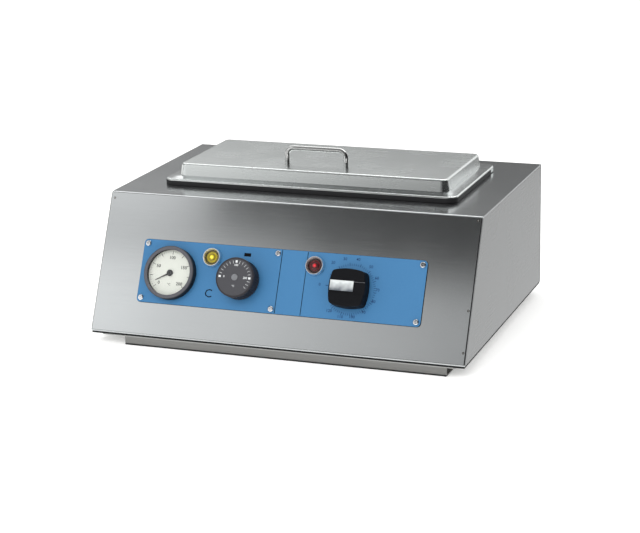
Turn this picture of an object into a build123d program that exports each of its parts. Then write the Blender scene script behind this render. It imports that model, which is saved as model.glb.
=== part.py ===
from build123d import *
import os
from math import atan2, degrees, radians, tan

os.makedirs("parts", exist_ok=True)

# Casing: one bent sheet makes the front, top and back, and two folded sides close it
casing_width = 460
casing_height = 153.5
casing_top_depth = 270
front_run = 75
sheet = 1.2
wrap_bend = 3
side_bend = 2
side_flange = 13
bottom_return = 20
toe_margin = 2.64
weld_gap = 0.1

# Base pan and the two rails that it stands on
pan_height = 4
pan_inset = 5.5
pan_corner = 8
pan_sheet = 1.2
rail_ground = 10.5
rail_sheet = 1.5
rail_flange = 28
rail_bend = 2.5
front_rail_inset_left = 41
front_rail_inset_right = 22.5
rear_rail_inset = 32
vent_length = 30
vent_width = 4
vent_pitch = 42
vent_count = 7
vent_inset = 62
base_screw_inset = 13.5
base_screw_pitch = 112
base_screw_shank = 4
base_screw_head = 7.5
base_screw_rise = 2.2
base_screw_edge = 0.55
base_screw_length = 7
screw_clearance = 0.1

# Chamber: a drawn tank that hangs by its flange in the top of the casing
chamber_length = 320
chamber_width = 132
chamber_depth = 100
chamber_corner = 20
chamber_floor_round = 8
tank_sheet = 1
tank_flange_end = 17
tank_flange_side = 15
tank_flange_corner = 10
opening_clearance = 1.5
control_clearance = 0.5

# Lid: a drawn shell with a turned-down skirt, a plug-shaped liner and wool between them
lid_overhang = 7
lid_corner = 12
lid_skirt = 6.3
lid_lift = 1.2
lid_sheet = 1.2
lid_bend = 2
dome_ledge_end = 13
dome_ledge_side = 14
dome_corner = 10
dome_height = 16
dome_taper = 10
dome_edge = 3
liner_sheet = 0.8
liner_clearance = 4
liner_depth = 10.5
liner_round = 4
liner_flange_margin = 4
lid_wool_gap = 1.5

# Handle on the lid
handle_rod = 6
handle_span = 75
handle_rise = 23.5
handle_bend = 9
handle_setback = 93.5
handle_offset = -2.5
handle_spigot = 5
handle_spigot_length = 7
nut_across_flats = 8
nut_height = 4
nut_pocket = 8
thread_fit = 0.05

# Gasket between lid and tank flange
gasket_width = 7
gasket_margin = 3
gasket_round = 1.5
seat_gap = 0.3

# Hinges behind the lid
hinge_spacing = 220
hinge_width = 42
knuckle_radius = 3
hinge_pin_radius = 1.5
hinge_leaf = 1.2
hinge_leaf_reach = 14
hinge_floor_gap = 0.4
knuckle_gap = 0.4
pin_fit = 0.05
hinge_pin_head = 2.2
hinge_pin_cap = 1.2
rivet_shank = 1.6
rivet_head = 3
rivet_tail = 2.4
rivet_rise = 1.4
rivet_round = 1.1
rivet_spacing = 24
rivet_inset = 5

# Control panel on the sloping front
panel_length = 350
panel_height = 75.5
panel_centre_x = -1.5
panel_centre_s = 78.4
panel_sheet = 1.5
panel_corner = 4.5
panel_screw_inset = 5.2
panel_middle_screw = -6.5
panel_screw_head = 7
panel_screw_shank = 3.5
panel_screw_rise = 2.2
panel_screw_round = 1.5
panel_screw_cross = 3.6
panel_screw_slot = 0.8
panel_screw_recess = 1.2
panel_screw_length = 8

# Dial thermometer
gauge_x = -136.5
gauge_s = 77
gauge_bezel = 63
gauge_ring = 4.5
gauge_proud = 10.5
gauge_case = 58
gauge_case_depth = 30
gauge_wall = 1.2
gauge_lip = 1.5
gauge_bezel_round = 0.5
gauge_flange = 62
gauge_dial_recess = 6.6
gauge_dial_sheet = 0.8
gauge_glass = 1.6
gauge_movement = 24
gauge_hub = 7.5
gauge_hub_height = 1.8
pointer_length = 20
pointer_tail = 8
pointer_width = 1.8
pointer_tip = 0.3
pointer_thickness = 0.6
pointer_gap = 0.8
pointer_shaft = 1
pointer_shaft_length = 12
pointer_rest_angle = 209
clamp_width = 12
clamp_sheet = 1.5
clamp_gap = 2

# Pilot lamps
yellow_lamp_x = -87.4
red_lamp_x = 40.6
lamp_s = 100
lamp_bezel = 22
lamp_bezel_height = 4.6
lamp_window = 17
lamp_rim = 1.2
lamp_lens_step = 10
lamp_lens_rise = 3.4
lamp_lens_base = 1.4
lamp_lens_shoulder = 2
lamp_body = 13
lamp_body_length = 34
lamp_nut = 18
lamp_nut_height = 3
lamp_tab_width = 4.8
lamp_tab_length = 8
lamp_tab_sheet = 0.8
lamp_tab_pitch = 6

# Thermostat with its knob
thermostat_x = -48.4
thermostat_s = 76.2
thermostat_knob = 47
thermostat_knob_height = 20
thermostat_knob_edge = 1
thermostat_flutes = 48
thermostat_flute = 0.8
thermostat_cap = 43
thermostat_cap_sheet = 1
thermostat_box = 36
thermostat_box_depth = 38
knob_floor_gap = 1.2
knob_wall = 2.4
knob_hub = 14
knob_hollow = 11
spindle = 6
spindle_flat = 1.5
spindle_fit = 0.05
spindle_seat = 20
spindle_hole = 8

# Clockwork timer with its knob
timer_x = 86.7
timer_s = 76.2
timer_knob = 45
timer_knob_bulge = 3
timer_knob_corner = 5
timer_knob_height = 16
timer_knob_edge = 1.2
timer_knob_taper = 3
timer_channel = 15.4
timer_channel_depth = 1.2
timer_plate_length = 28
timer_plate_height = 12
timer_plate_sheet = 0.8
timer_plate_inset = 2.2
timer_plate_edge = 0.2
timer_hollow = 8.5
timer_box = 48
timer_box_depth = 42
box_round = 3

# Heating rod below the chamber floor
heater_rod = 8
heater_passes = 4
heater_pitch = 30
heater_straight = 230
heater_floor_gap = 5
heater_lead = 11
heater_clip_spacing = 130
heater_clip_width = 12
heater_clip_sheet = 1
heater_clip_foot = 7
heater_bush = 9
heater_bush_sleeve = 6
heater_bush_rim = 3
heater_bush_edge = 1
heater_stud = 2
heater_stud_length = 12

# Wool and the open-topped sheet box that holds it round the chamber
wool_gap = 1
wool_thickness = 18
wool_floor = 15
heater_space = 20
wool_box_sheet = 0.8
wool_box_fit = 0.3
support_spacing = 240
support_length = 150
support_width = 22
support_foot = 11
support_sheet = 1

# Sensing bulbs of the thermostat and the thermometer, on the front wall of the tank
bulb_radius = 3
bulb_length = 80
bulb_drop = 42
bulb_step = 15
bulb_wall_gap = 0.3
bulb_pocket_length = 140
bulb_pocket_height = 42
bulb_pocket_depth = 9
capillary_radius = 0.75
capillary_bend = 6
capillary_lead = 15
capillary_hole = 2
clip_sheet = 0.8
clip_width = 8
clip_spacing = 50
thermostat_capillary_x = 10
thermometer_capillary_x = -104

# Safety cut-out on the end wall of the tank
cutout_radius = 8
cutout_height = 12
cutout_flange = 1.2
cutout_pocket = 9.5
cutout_drop = 60

# Mains inlet, terminals and earth at the back
inlet_x = 150
inlet_z = 62
inlet_body_width = 28
inlet_body_height = 20.4
inlet_body_depth = 24
inlet_plate = 3
inlet_plate_width = 50
inlet_plate_height = 25
inlet_plate_edge = 0.6
inlet_cavity_width = 24.4
inlet_cavity_height = 16.6
inlet_cavity_depth = 17
inlet_cavity_chamfer = 4.5
inlet_screw_spacing = 40
inlet_screw = 1.6
inlet_screw_head = 3
inlet_screw_sink = 1.8
inlet_countersink = 32
inlet_nut = 2.7
inlet_screw_length = 10
inlet_pin_width = 2
inlet_pin_height = 4
inlet_pin_length = 13
inlet_pin_spacing = 7
inlet_pin_step = 2
inlet_pin_edge = 0.5
inlet_tab_length = 8
terminal_x = 60
terminal_ways = 5
terminal_pitch = 11
terminal_depth = 18
terminal_height = 16
terminal_inset = 31
terminal_screw = 2
terminal_slot = 1
terminal_slot_depth = 4
earth_inset = 34
earth_stud_radius = 2.5
earth_stud_height = 16

# Instrument tray in the chamber
tray_length = 302
tray_width = 114
tray_height = 22
tray_corner = 14
tray_round = 4
tray_sheet = 1
tray_rim = 5
tray_foot = 3
tray_foot_radius = 7
tray_hole = 8
tray_columns = 11
tray_rows = 4
tray_hole_pitch_x = 25
tray_hole_pitch_y = 25
grip_rod = 4
grip_span = 60
grip_rise = 26
grip_bend = 8

# Sizes that follow from the chamber and the casing
tank_flange_length = chamber_length + 2 * tank_flange_end
tank_flange_width = chamber_width + 2 * tank_flange_side
lid_length = tank_flange_length + 2 * lid_overhang
lid_width = tank_flange_width + 2 * lid_overhang
dome_length = lid_length - 2 * dome_ledge_end
dome_width = lid_width - 2 * dome_ledge_side
liner_length = chamber_length - 2 * liner_clearance
liner_width = chamber_width - 2 * liner_clearance
liner_corner = chamber_corner - liner_clearance / 2
front_rail_left = front_rail_inset_left - casing_width / 2
front_rail_right = casing_width / 2 - front_rail_inset_right
rear_rail_length = casing_width - 2 * rear_rail_inset
earth_x = casing_width / 2 - earth_inset

# Levels above the table
pan_bottom = rail_ground
casing_bottom = pan_bottom + pan_height
casing_top = casing_bottom + casing_height
tank_top = casing_top + tank_sheet
tank_bottom = tank_top - chamber_depth - tank_sheet
flange_top = casing_top + lid_lift + lid_skirt
flange_under = flange_top - lid_sheet
dome_top = flange_top + dome_height
liner_flange_under = flange_under - liner_sheet
handle_axis_z = dome_top + handle_rise - handle_rod / 2

# Places from front to back, with the middle of the whole depth at zero
slope_angle = degrees(atan2(casing_height, front_run))
toe_setback = side_bend * (1 / tan(radians(slope_angle / 2)) - 1)
whole_depth = front_run + casing_top_depth + inlet_plate - toe_setback
toe_y = -whole_depth / 2 - toe_setback
top_front_y = toe_y + front_run
back_y = top_front_y + casing_top_depth
lid_y = top_front_y + casing_top_depth / 2
handle_y = top_front_y + handle_setback
pan_front = toe_y + pan_inset
pan_back = back_y - pan_inset

# Sloping front: x to the right, then the distance up the slope from the toe
front_plane = Plane(origin=(0, toe_y, casing_bottom), x_dir=(1, 0, 0), z_dir=(0, -casing_height, front_run))
front_axis = Axis(front_plane.origin, front_plane.z_dir)
back_plane = Plane(origin=(0, back_y, 0), x_dir=(-1, 0, 0), z_dir=(0, 1, 0))

panel_left = panel_centre_x - panel_length / 2 + panel_screw_inset
panel_right = panel_centre_x + panel_length / 2 - panel_screw_inset
panel_low = panel_centre_s - panel_height / 2 + panel_screw_inset
panel_high = panel_centre_s + panel_height / 2 - panel_screw_inset
panel_screw_places = [
    (x, s) for x in (panel_left, panel_middle_screw, panel_right) for s in (panel_low, panel_high)
]
lamp_places = [(yellow_lamp_x, lamp_s), (red_lamp_x, lamp_s)]
inlet_screw_places = [(-inlet_x + side * inlet_screw_spacing / 2, inlet_z) for side in (-1, 1)]
base_screw_places = [
    ((i - 1) * base_screw_pitch, y)
    for i in range(3)
    for y in (toe_y + base_screw_inset, back_y - base_screw_inset)
]

# Hinge axis behind the lid, and the rivets of the casing leaves
hinge_y = lid_y + lid_width / 2 + knuckle_radius
hinge_z = casing_top + hinge_floor_gap + knuckle_radius
knuckle_length = (hinge_width - 2 * knuckle_gap) / 3
outer_knuckle = knuckle_length + knuckle_gap
rivet_y = hinge_y + hinge_leaf_reach - rivet_inset
rivet_places = [(h * hinge_spacing / 2 + r * rivet_spacing / 2, rivet_y) for h in (-1, 1) for r in (-1, 1)]


def section_plane(x, s):
    """Plane through a control's axis: x is the radius and y the height above the casing's front."""
    origin = front_plane.from_local_coords((x, s, 0))
    return Plane(origin=origin, x_dir=(1, 0, 0), z_dir=(0, -front_run, -casing_height))


def control_axis(x, s):
    return Axis(front_plane.from_local_coords((x, s, 0)), front_plane.z_dir)


def save(part, name):
    part.label = name
    export_step(part, f"parts/{name}.step")


# Front, top and back of the casing in one bent sheet
toe_lean = front_run / casing_height

with BuildPart() as casing_wrap:
    with BuildSketch(Plane.YZ) as wrap_section:
        with BuildLine():
            Polyline(
                (toe_y, casing_bottom),
                (top_front_y, casing_top),
                (back_y, casing_top),
                (back_y, casing_bottom),
                close=True,
            )
        make_face()
        fillet(wrap_section.vertices().group_by(Axis.Y)[-1], wrap_bend)
        fillet(wrap_section.vertices().group_by(Axis.Y)[0], side_bend)
        offset(amount=-sheet, mode=Mode.SUBTRACT)
    extrude(amount=casing_width / 2, both=True)
    with BuildSketch(Plane.XY.offset(casing_bottom - sheet)) as underside:
        with Locations((0, (toe_y + back_y) / 2)):
            Rectangle(casing_width + 2 * sheet, back_y - toe_y - 2 * bottom_return)
        with Locations((-casing_width / 2, back_y - sheet), (casing_width / 2, back_y - sheet)):
            Rectangle(
                2 * side_flange + sheet, back_y - toe_y - sheet - toe_margin, align=(Align.CENTER, Align.MAX)
            )
    extrude(amount=3 * sheet, mode=Mode.SUBTRACT)
    with BuildSketch(Plane.XY.offset(casing_bottom)) as base_holes:
        with Locations(*base_screw_places):
            Circle(base_screw_shank / 2 + screw_clearance)
    extrude(amount=2 * sheet, mode=Mode.SUBTRACT)
    with BuildSketch(Plane.XY.offset(casing_top)) as tank_opening:
        with Locations((0, lid_y)):
            RectangleRounded(
                chamber_length + 2 * (tank_sheet + opening_clearance),
                chamber_width + 2 * (tank_sheet + opening_clearance),
                chamber_corner,
            )
        with Locations(*rivet_places):
            Circle(rivet_shank + screw_clearance)
    extrude(amount=-2 * sheet, mode=Mode.SUBTRACT)
    with BuildSketch(front_plane) as front_holes:
        with Locations((gauge_x, gauge_s)):
            Circle(gauge_case / 2 + control_clearance)
        with Locations(*lamp_places):
            Circle(lamp_body / 2 + control_clearance)
        with Locations((thermostat_x, thermostat_s), (timer_x, timer_s)):
            Circle(spindle_hole / 2)
        with Locations(*panel_screw_places):
            Circle(panel_screw_shank / 2 + screw_clearance)
    extrude(amount=-2 * sheet, mode=Mode.SUBTRACT)
    with BuildSketch(back_plane) as inlet_hole:
        with Locations((-inlet_x, inlet_z)):
            RectangleRounded(
                inlet_body_width + opening_clearance, inlet_body_height + opening_clearance, side_bend
            )
        with Locations(*inlet_screw_places):
            Circle(inlet_screw + screw_clearance)
    extrude(amount=-2 * sheet, mode=Mode.SUBTRACT)
save(casing_wrap.part, "casing_wrap")

# Folded sides whose flanges sit behind the wrap, spot welded to it
side_drop = sheet + weld_gap

with BuildPart() as right_side_panel:
    with BuildSketch(Plane.YZ.offset(casing_width / 2)) as side_section:
        with BuildLine():
            Polyline(
                (toe_y - side_drop * toe_lean, casing_bottom - side_drop),
                (top_front_y, casing_top),
                (back_y, casing_top),
                (back_y, casing_bottom - side_drop),
                close=True,
            )
        make_face()
        offset(amount=-side_drop, kind=Kind.INTERSECTION)
        fillet(side_section.vertices(), side_bend)
    extrude(amount=-side_flange)
    fillet(right_side_panel.faces().sort_by(Axis.X)[-1].edges(), side_bend - weld_gap)
    offset(amount=-sheet, openings=right_side_panel.faces().sort_by(Axis.X)[0])
save(right_side_panel.part, "right_side_panel")

with BuildPart() as left_side_panel:
    add(mirror(right_side_panel.part, about=Plane.YZ))
save(left_side_panel.part, "left_side_panel")

# Base pan with a folded rim, vent slots and cropped corners
with BuildPart() as base_pan:
    with BuildSketch(Plane.XY.offset(casing_bottom)) as pan_outline:
        with Locations((0, (pan_front + pan_back) / 2)):
            Rectangle(casing_width - 2 * pan_inset, pan_back - pan_front)
        chamfer(pan_outline.vertices(), pan_corner)
    extrude(amount=-pan_height)
    offset(amount=-pan_sheet, openings=base_pan.faces().sort_by(Axis.Z)[0])
    with BuildSketch(Plane.XY.offset(casing_bottom)) as pan_cuts:
        with Locations((0, toe_y + vent_inset), (0, back_y - vent_inset)):
            with GridLocations(vent_pitch, 0, vent_count, 1):
                SlotOverall(vent_length, vent_width)
        with Locations(*base_screw_places):
            Circle(base_screw_shank / 2 + screw_clearance)
    extrude(amount=-2 * pan_sheet, mode=Mode.SUBTRACT)
save(base_pan.part, "base_pan")

# Channel rails that the unit stands on, nested inside the rim of the pan
rail_height = casing_bottom - pan_sheet

with BuildPart() as front_rail:
    with BuildSketch(Plane.YZ.offset(front_rail_left)) as front_channel:
        with Locations((pan_front + pan_sheet + weld_gap, 0)):
            Rectangle(rail_flange, rail_height, align=Align.MIN)
        fillet(front_channel.vertices().group_by(Axis.X)[0], rail_bend)
        with Locations((pan_front + pan_sheet + weld_gap + rail_sheet, rail_sheet)):
            RectangleRounded(
                2 * rail_flange,
                rail_height - 2 * rail_sheet,
                rail_bend - rail_sheet,
                align=Align.MIN,
                mode=Mode.SUBTRACT,
            )
    extrude(amount=front_rail_right - front_rail_left)
    with BuildSketch(Plane.XY.offset(rail_height)) as front_rail_holes:
        with Locations(*base_screw_places):
            Circle(base_screw_shank / 2 + screw_clearance)
    extrude(amount=-2 * rail_sheet, mode=Mode.SUBTRACT)
save(front_rail.part, "front_rail")

with BuildPart() as rear_rail:
    with BuildSketch(Plane.YZ.offset(-rear_rail_length / 2)) as rear_channel:
        with Locations((pan_back - pan_sheet - weld_gap, 0)):
            Rectangle(rail_flange, rail_height, align=(Align.MAX, Align.MIN))
        fillet(rear_channel.vertices().group_by(Axis.X)[-1], rail_bend)
        with Locations((pan_back - pan_sheet - weld_gap - rail_sheet, rail_sheet)):
            RectangleRounded(
                2 * rail_flange,
                rail_height - 2 * rail_sheet,
                rail_bend - rail_sheet,
                align=(Align.MAX, Align.MIN),
                mode=Mode.SUBTRACT,
            )
    extrude(amount=rear_rail_length)
    with BuildSketch(Plane.XY.offset(rail_height)) as rear_rail_holes:
        with Locations(*base_screw_places):
            Circle(base_screw_shank / 2 + screw_clearance)
    extrude(amount=-2 * rail_sheet, mode=Mode.SUBTRACT)
save(rear_rail.part, "rear_rail")

# Screws from inside the rails through pan and casing returns
with BuildPart() as base_screws:
    with BuildSketch(Plane.XY.offset(rail_height - rail_sheet)) as base_heads:
        with Locations(*base_screw_places):
            Circle(base_screw_head / 2)
    extrude(amount=-base_screw_rise)
    chamfer(base_screws.edges().group_by(Axis.Z)[0], base_screw_edge)
    with BuildSketch(Plane.XY.offset(rail_height - rail_sheet)) as base_shanks:
        with Locations(*base_screw_places):
            Circle(base_screw_shank / 2)
    extrude(amount=base_screw_length)
save(base_screws.part, "base_screws")

# Drawn tank with its flange lying on the casing top
with BuildPart() as tank:
    with BuildSketch(Plane.XY.offset(tank_top)):
        with Locations((0, lid_y)):
            RectangleRounded(
                chamber_length + 2 * tank_sheet, chamber_width + 2 * tank_sheet, chamber_corner + tank_sheet
            )
    extrude(amount=-chamber_depth - tank_sheet)
    fillet(tank.edges().group_by(Axis.Z)[0], chamber_floor_round + tank_sheet)
    offset(amount=-tank_sheet, openings=tank.faces().sort_by(Axis.Z)[-1])
    with BuildSketch(Plane.XY.offset(tank_top)):
        with Locations((0, lid_y)):
            RectangleRounded(tank_flange_length, tank_flange_width, tank_flange_corner)
            RectangleRounded(chamber_length, chamber_width, chamber_corner, mode=Mode.SUBTRACT)
    extrude(amount=-tank_sheet)
save(tank.part, "tank")

# Silicone gasket on the tank flange
with BuildPart() as lid_gasket:
    with BuildSketch(Plane.XY.offset(tank_top)):
        with Locations((0, lid_y)):
            RectangleRounded(
                tank_flange_length - 2 * gasket_margin,
                tank_flange_width - 2 * gasket_margin,
                tank_flange_corner,
            )
            RectangleRounded(
                tank_flange_length - 2 * (gasket_margin + gasket_width),
                tank_flange_width - 2 * (gasket_margin + gasket_width),
                tank_flange_corner - gasket_width / 2,
                mode=Mode.SUBTRACT,
            )
    extrude(amount=liner_flange_under - seat_gap - tank_top)
    fillet(lid_gasket.edges().group_by(Axis.Z)[-1], gasket_round)
save(lid_gasket.part, "lid_gasket")

# Lid shell: a raised dome on a flange with a turned-down skirt
handle_places = [(handle_offset + side * handle_span / 2, handle_y) for side in (-1, 1)]

with BuildPart() as lid_shell:
    with BuildSketch(Plane.XY.offset(flange_top - lid_skirt)):
        with Locations((0, lid_y)):
            RectangleRounded(lid_length, lid_width, lid_corner)
    extrude(amount=lid_skirt)
    with BuildSketch(Plane.XY.offset(flange_top)):
        with Locations((0, lid_y)):
            RectangleRounded(dome_length, dome_width, dome_corner)
    extrude(amount=dome_height, taper=dome_taper)
    fillet(lid_shell.edges().group_by(Axis.Z)[-1], dome_edge)
    fillet(lid_shell.faces().filter_by(Axis.Z).sort_by(Axis.Z)[1].edges(), lid_bend)
    offset(amount=-lid_sheet, openings=lid_shell.faces().sort_by(Axis.Z)[0])
    with BuildSketch(Plane.XY.offset(dome_top)):
        with Locations(*handle_places):
            Circle(handle_spigot / 2 + screw_clearance)
    extrude(amount=-2 * lid_sheet, mode=Mode.SUBTRACT)
save(lid_shell.part, "lid_shell")

# Plug-shaped liner under the lid, welded to the underside of the flange
with BuildPart() as lid_liner:
    with BuildSketch(Plane.XY.offset(flange_under)):
        with Locations((0, lid_y)):
            RectangleRounded(liner_length, liner_width, liner_corner)
    extrude(amount=-liner_depth - liner_sheet)
    fillet(lid_liner.edges().group_by(Axis.Z)[0], liner_round)
    offset(amount=-liner_sheet, openings=lid_liner.faces().sort_by(Axis.Z)[-1])
    with BuildSketch(Plane.XY.offset(flange_under)):
        with Locations((0, lid_y)):
            RectangleRounded(
                lid_length - 2 * (lid_sheet + liner_flange_margin),
                lid_width - 2 * (lid_sheet + liner_flange_margin),
                lid_corner - lid_sheet,
            )
            RectangleRounded(
                liner_length - 2 * liner_sheet,
                liner_width - 2 * liner_sheet,
                liner_corner - liner_sheet,
                mode=Mode.SUBTRACT,
            )
    extrude(amount=-liner_sheet)
save(lid_liner.part, "lid_liner")

# Wool that fills the lid, with room for the handle nuts
with BuildPart() as lid_wool:
    with BuildSketch(Plane.XY.offset(flange_under)):
        with Locations((0, lid_y)):
            RectangleRounded(
                dome_length - 2 * (lid_sheet + lid_wool_gap),
                dome_width - 2 * (lid_sheet + lid_wool_gap),
                dome_corner,
            )
    extrude(amount=dome_height - seat_gap, taper=dome_taper)
    fillet(lid_wool.edges().group_by(Axis.Z)[-1], dome_edge)
    with BuildSketch(Plane.XY.offset(flange_under)):
        with Locations((0, lid_y)):
            RectangleRounded(
                liner_length - 2 * (liner_sheet + liner_round),
                liner_width - 2 * (liner_sheet + liner_round),
                liner_corner - liner_round,
            )
    extrude(amount=-liner_depth)
    with BuildSketch(Plane.XY.offset(dome_top)):
        with Locations(*handle_places):
            Circle(nut_pocket)
    extrude(amount=-2 * handle_spigot_length, mode=Mode.SUBTRACT)
save(lid_wool.part, "lid_wool")

# Bent rod handle with threaded ends
handle_plane = Plane.XZ.offset(-handle_y)
left_leg = handle_places[0][0]
right_leg = handle_places[1][0]

with BuildPart() as lid_handle:
    with BuildLine(handle_plane) as handle_path:
        FilletPolyline(
            (left_leg, dome_top),
            (left_leg, handle_axis_z),
            (right_leg, handle_axis_z),
            (right_leg, dome_top),
            radius=handle_bend,
        )
    with BuildSketch(Plane.XY.offset(dome_top)):
        with Locations(handle_places[0]):
            Circle(handle_rod / 2)
    sweep()
    with BuildSketch(Plane.XY.offset(dome_top)):
        with Locations(*handle_places):
            Circle(handle_spigot / 2)
    extrude(amount=-handle_spigot_length)
save(lid_handle.part, "lid_handle")

with BuildPart() as handle_nuts:
    with BuildSketch(Plane.XY.offset(dome_top - lid_sheet)):
        with Locations(*handle_places):
            RegularPolygon(nut_across_flats / 2, 6, major_radius=False)
            Circle(handle_spigot / 2 + thread_fit, mode=Mode.SUBTRACT)
    extrude(amount=-nut_height)
save(handle_nuts.part, "handle_nuts")

# Hinges: two knuckles on each casing leaf and one between them on the lid leaf
with BuildPart() as casing_hinge_leaves:
    with BuildSketch(Plane.XY.offset(casing_top)) as casing_leaf_outline:
        with GridLocations(hinge_spacing, 0, 2, 1):
            with Locations((0, hinge_y + knuckle_radius + knuckle_gap)):
                Rectangle(
                    hinge_width,
                    hinge_leaf_reach - knuckle_radius - knuckle_gap,
                    align=(Align.CENTER, Align.MIN),
                )
            with Locations((-outer_knuckle, hinge_y), (outer_knuckle, hinge_y)):
                Rectangle(knuckle_length, hinge_leaf_reach, align=(Align.CENTER, Align.MIN))
        with Locations(*rivet_places):
            Circle(rivet_shank + screw_clearance, mode=Mode.SUBTRACT)
    extrude(amount=hinge_leaf)
    for hinge_x in (-hinge_spacing / 2, hinge_spacing / 2):
        for side in (-1, 1):
            with BuildSketch(Plane.YZ.offset(hinge_x + side * outer_knuckle - knuckle_length / 2)):
                with Locations((hinge_y, hinge_z)):
                    Circle(knuckle_radius)
            extrude(amount=knuckle_length)
    with BuildSketch(Plane.YZ):
        with Locations((hinge_y, hinge_z)):
            Circle(hinge_pin_radius + pin_fit)
    extrude(amount=casing_width / 2, both=True, mode=Mode.SUBTRACT)
save(casing_hinge_leaves.part, "casing_hinge_leaves")

with BuildPart() as lid_hinge_leaves:
    with BuildSketch(Plane.XY.offset(flange_top)):
        with GridLocations(hinge_spacing, 0, 2, 1):
            with Locations((0, hinge_y - knuckle_radius + hinge_leaf)):
                Rectangle(hinge_width, hinge_leaf_reach, align=(Align.CENTER, Align.MAX))
    extrude(amount=hinge_leaf)
    for hinge_x in (-hinge_spacing / 2, hinge_spacing / 2):
        with BuildSketch(Plane.YZ.offset(hinge_x - knuckle_length / 2)):
            with Locations((hinge_y, hinge_z)):
                Circle(knuckle_radius)
            with Locations((hinge_y - knuckle_radius, hinge_z)):
                Rectangle(hinge_leaf, flange_top + hinge_leaf - hinge_z, align=Align.MIN)
        extrude(amount=knuckle_length)
    with BuildSketch(Plane.YZ):
        with Locations((hinge_y, hinge_z)):
            Circle(hinge_pin_radius + pin_fit)
    extrude(amount=casing_width / 2, both=True, mode=Mode.SUBTRACT)
save(lid_hinge_leaves.part, "lid_hinge_leaves")

with BuildPart() as hinge_pins:
    for hinge_x in (-hinge_spacing / 2, hinge_spacing / 2):
        with BuildSketch(Plane.YZ.offset(hinge_x)):
            with Locations((hinge_y, hinge_z)):
                Circle(hinge_pin_radius)
        extrude(amount=hinge_width / 2 + knuckle_gap, both=True)
        for side in (-1, 1):
            with BuildSketch(Plane.YZ.offset(hinge_x + side * (hinge_width / 2 + knuckle_gap))):
                with Locations((hinge_y, hinge_z)):
                    Circle(hinge_pin_head)
            extrude(amount=side * hinge_pin_cap)
save(hinge_pins.part, "hinge_pins")

with BuildPart() as hinge_rivets:
    with BuildSketch(Plane.XY.offset(casing_top + hinge_leaf)):
        with Locations(*rivet_places):
            Circle(rivet_head)
    extrude(amount=rivet_rise)
    fillet(hinge_rivets.edges().group_by(Axis.Z)[-1], rivet_round)
    with BuildSketch(Plane.XY.offset(casing_top + hinge_leaf)):
        with Locations(*rivet_places):
            Circle(rivet_shank)
    extrude(amount=-hinge_leaf - sheet)
    with BuildSketch(Plane.XY.offset(casing_top - sheet)):
        with Locations(*rivet_places):
            Circle(rivet_tail)
    extrude(amount=-rivet_rise)
save(hinge_rivets.part, "hinge_rivets")

# Wool round the chamber, with a shelf for the heating rod and a pocket for the bulbs
wool_top = casing_top - sheet - seat_gap
heater_floor = tank_bottom - heater_space
wool_bottom = heater_floor - wool_floor
cavity_length = chamber_length + 2 * (tank_sheet + wool_gap)
cavity_width = chamber_width + 2 * (tank_sheet + wool_gap)
wool_length = cavity_length + 2 * wool_thickness
wool_width = cavity_width + 2 * wool_thickness
tank_front = lid_y - chamber_width / 2 - tank_sheet
tank_end = chamber_length / 2 + tank_sheet
bulb_y = tank_front - bulb_wall_gap - bulb_radius
thermostat_bulb_z = tank_top - bulb_drop
thermometer_bulb_z = thermostat_bulb_z - bulb_step
bulb_centre_x = (thermostat_capillary_x + thermometer_capillary_x) / 2
heater_z = tank_bottom - heater_floor_gap - heater_rod / 2
heater_lead_places = [(lid_y + side * (heater_passes - 1) * heater_pitch / 2, heater_z) for side in (-1, 1)]
capillary_places = [
    (thermostat_capillary_x, thermostat_bulb_z),
    (thermometer_capillary_x, thermometer_bulb_z),
]
cutout_z = tank_top - cutout_drop
wool_front = lid_y - wool_width / 2

with BuildPart() as chamber_wool:
    with BuildSketch(Plane.XY.offset(wool_bottom)):
        with Locations((0, lid_y)):
            RectangleRounded(wool_length, wool_width, chamber_corner)
    extrude(amount=wool_top - wool_bottom)
    with BuildSketch(Plane.XY.offset(heater_floor)):
        with Locations((0, lid_y)):
            RectangleRounded(cavity_length, cavity_width, chamber_corner)
    extrude(amount=wool_top - heater_floor, mode=Mode.SUBTRACT)
    with BuildSketch(Plane.XZ.offset(-tank_front)):
        with Locations((bulb_centre_x, (thermostat_bulb_z + thermometer_bulb_z) / 2)):
            Rectangle(bulb_pocket_length, bulb_pocket_height)
    extrude(amount=wool_gap + bulb_pocket_depth, mode=Mode.SUBTRACT)
    with BuildSketch(Plane.XZ.offset(-tank_front)):
        with Locations(*capillary_places):
            Circle(capillary_hole)
    extrude(amount=2 * wool_thickness, mode=Mode.SUBTRACT)
    with BuildSketch(Plane.YZ):
        with Locations(*heater_lead_places):
            Circle(heater_bush_sleeve + wool_gap)
    extrude(amount=-wool_length, mode=Mode.SUBTRACT)
    with BuildSketch(Plane.YZ):
        with Locations((lid_y, cutout_z)):
            Circle(cutout_pocket)
    extrude(amount=wool_length, mode=Mode.SUBTRACT)
save(chamber_wool.part, "chamber_wool")

# Sheet box that holds the wool
box_length = wool_length + 2 * (wool_box_fit + wool_box_sheet)
box_width = wool_width + 2 * (wool_box_fit + wool_box_sheet)
box_bottom = wool_bottom - wool_box_sheet
heater_end = box_length / 2 + heater_lead

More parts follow.
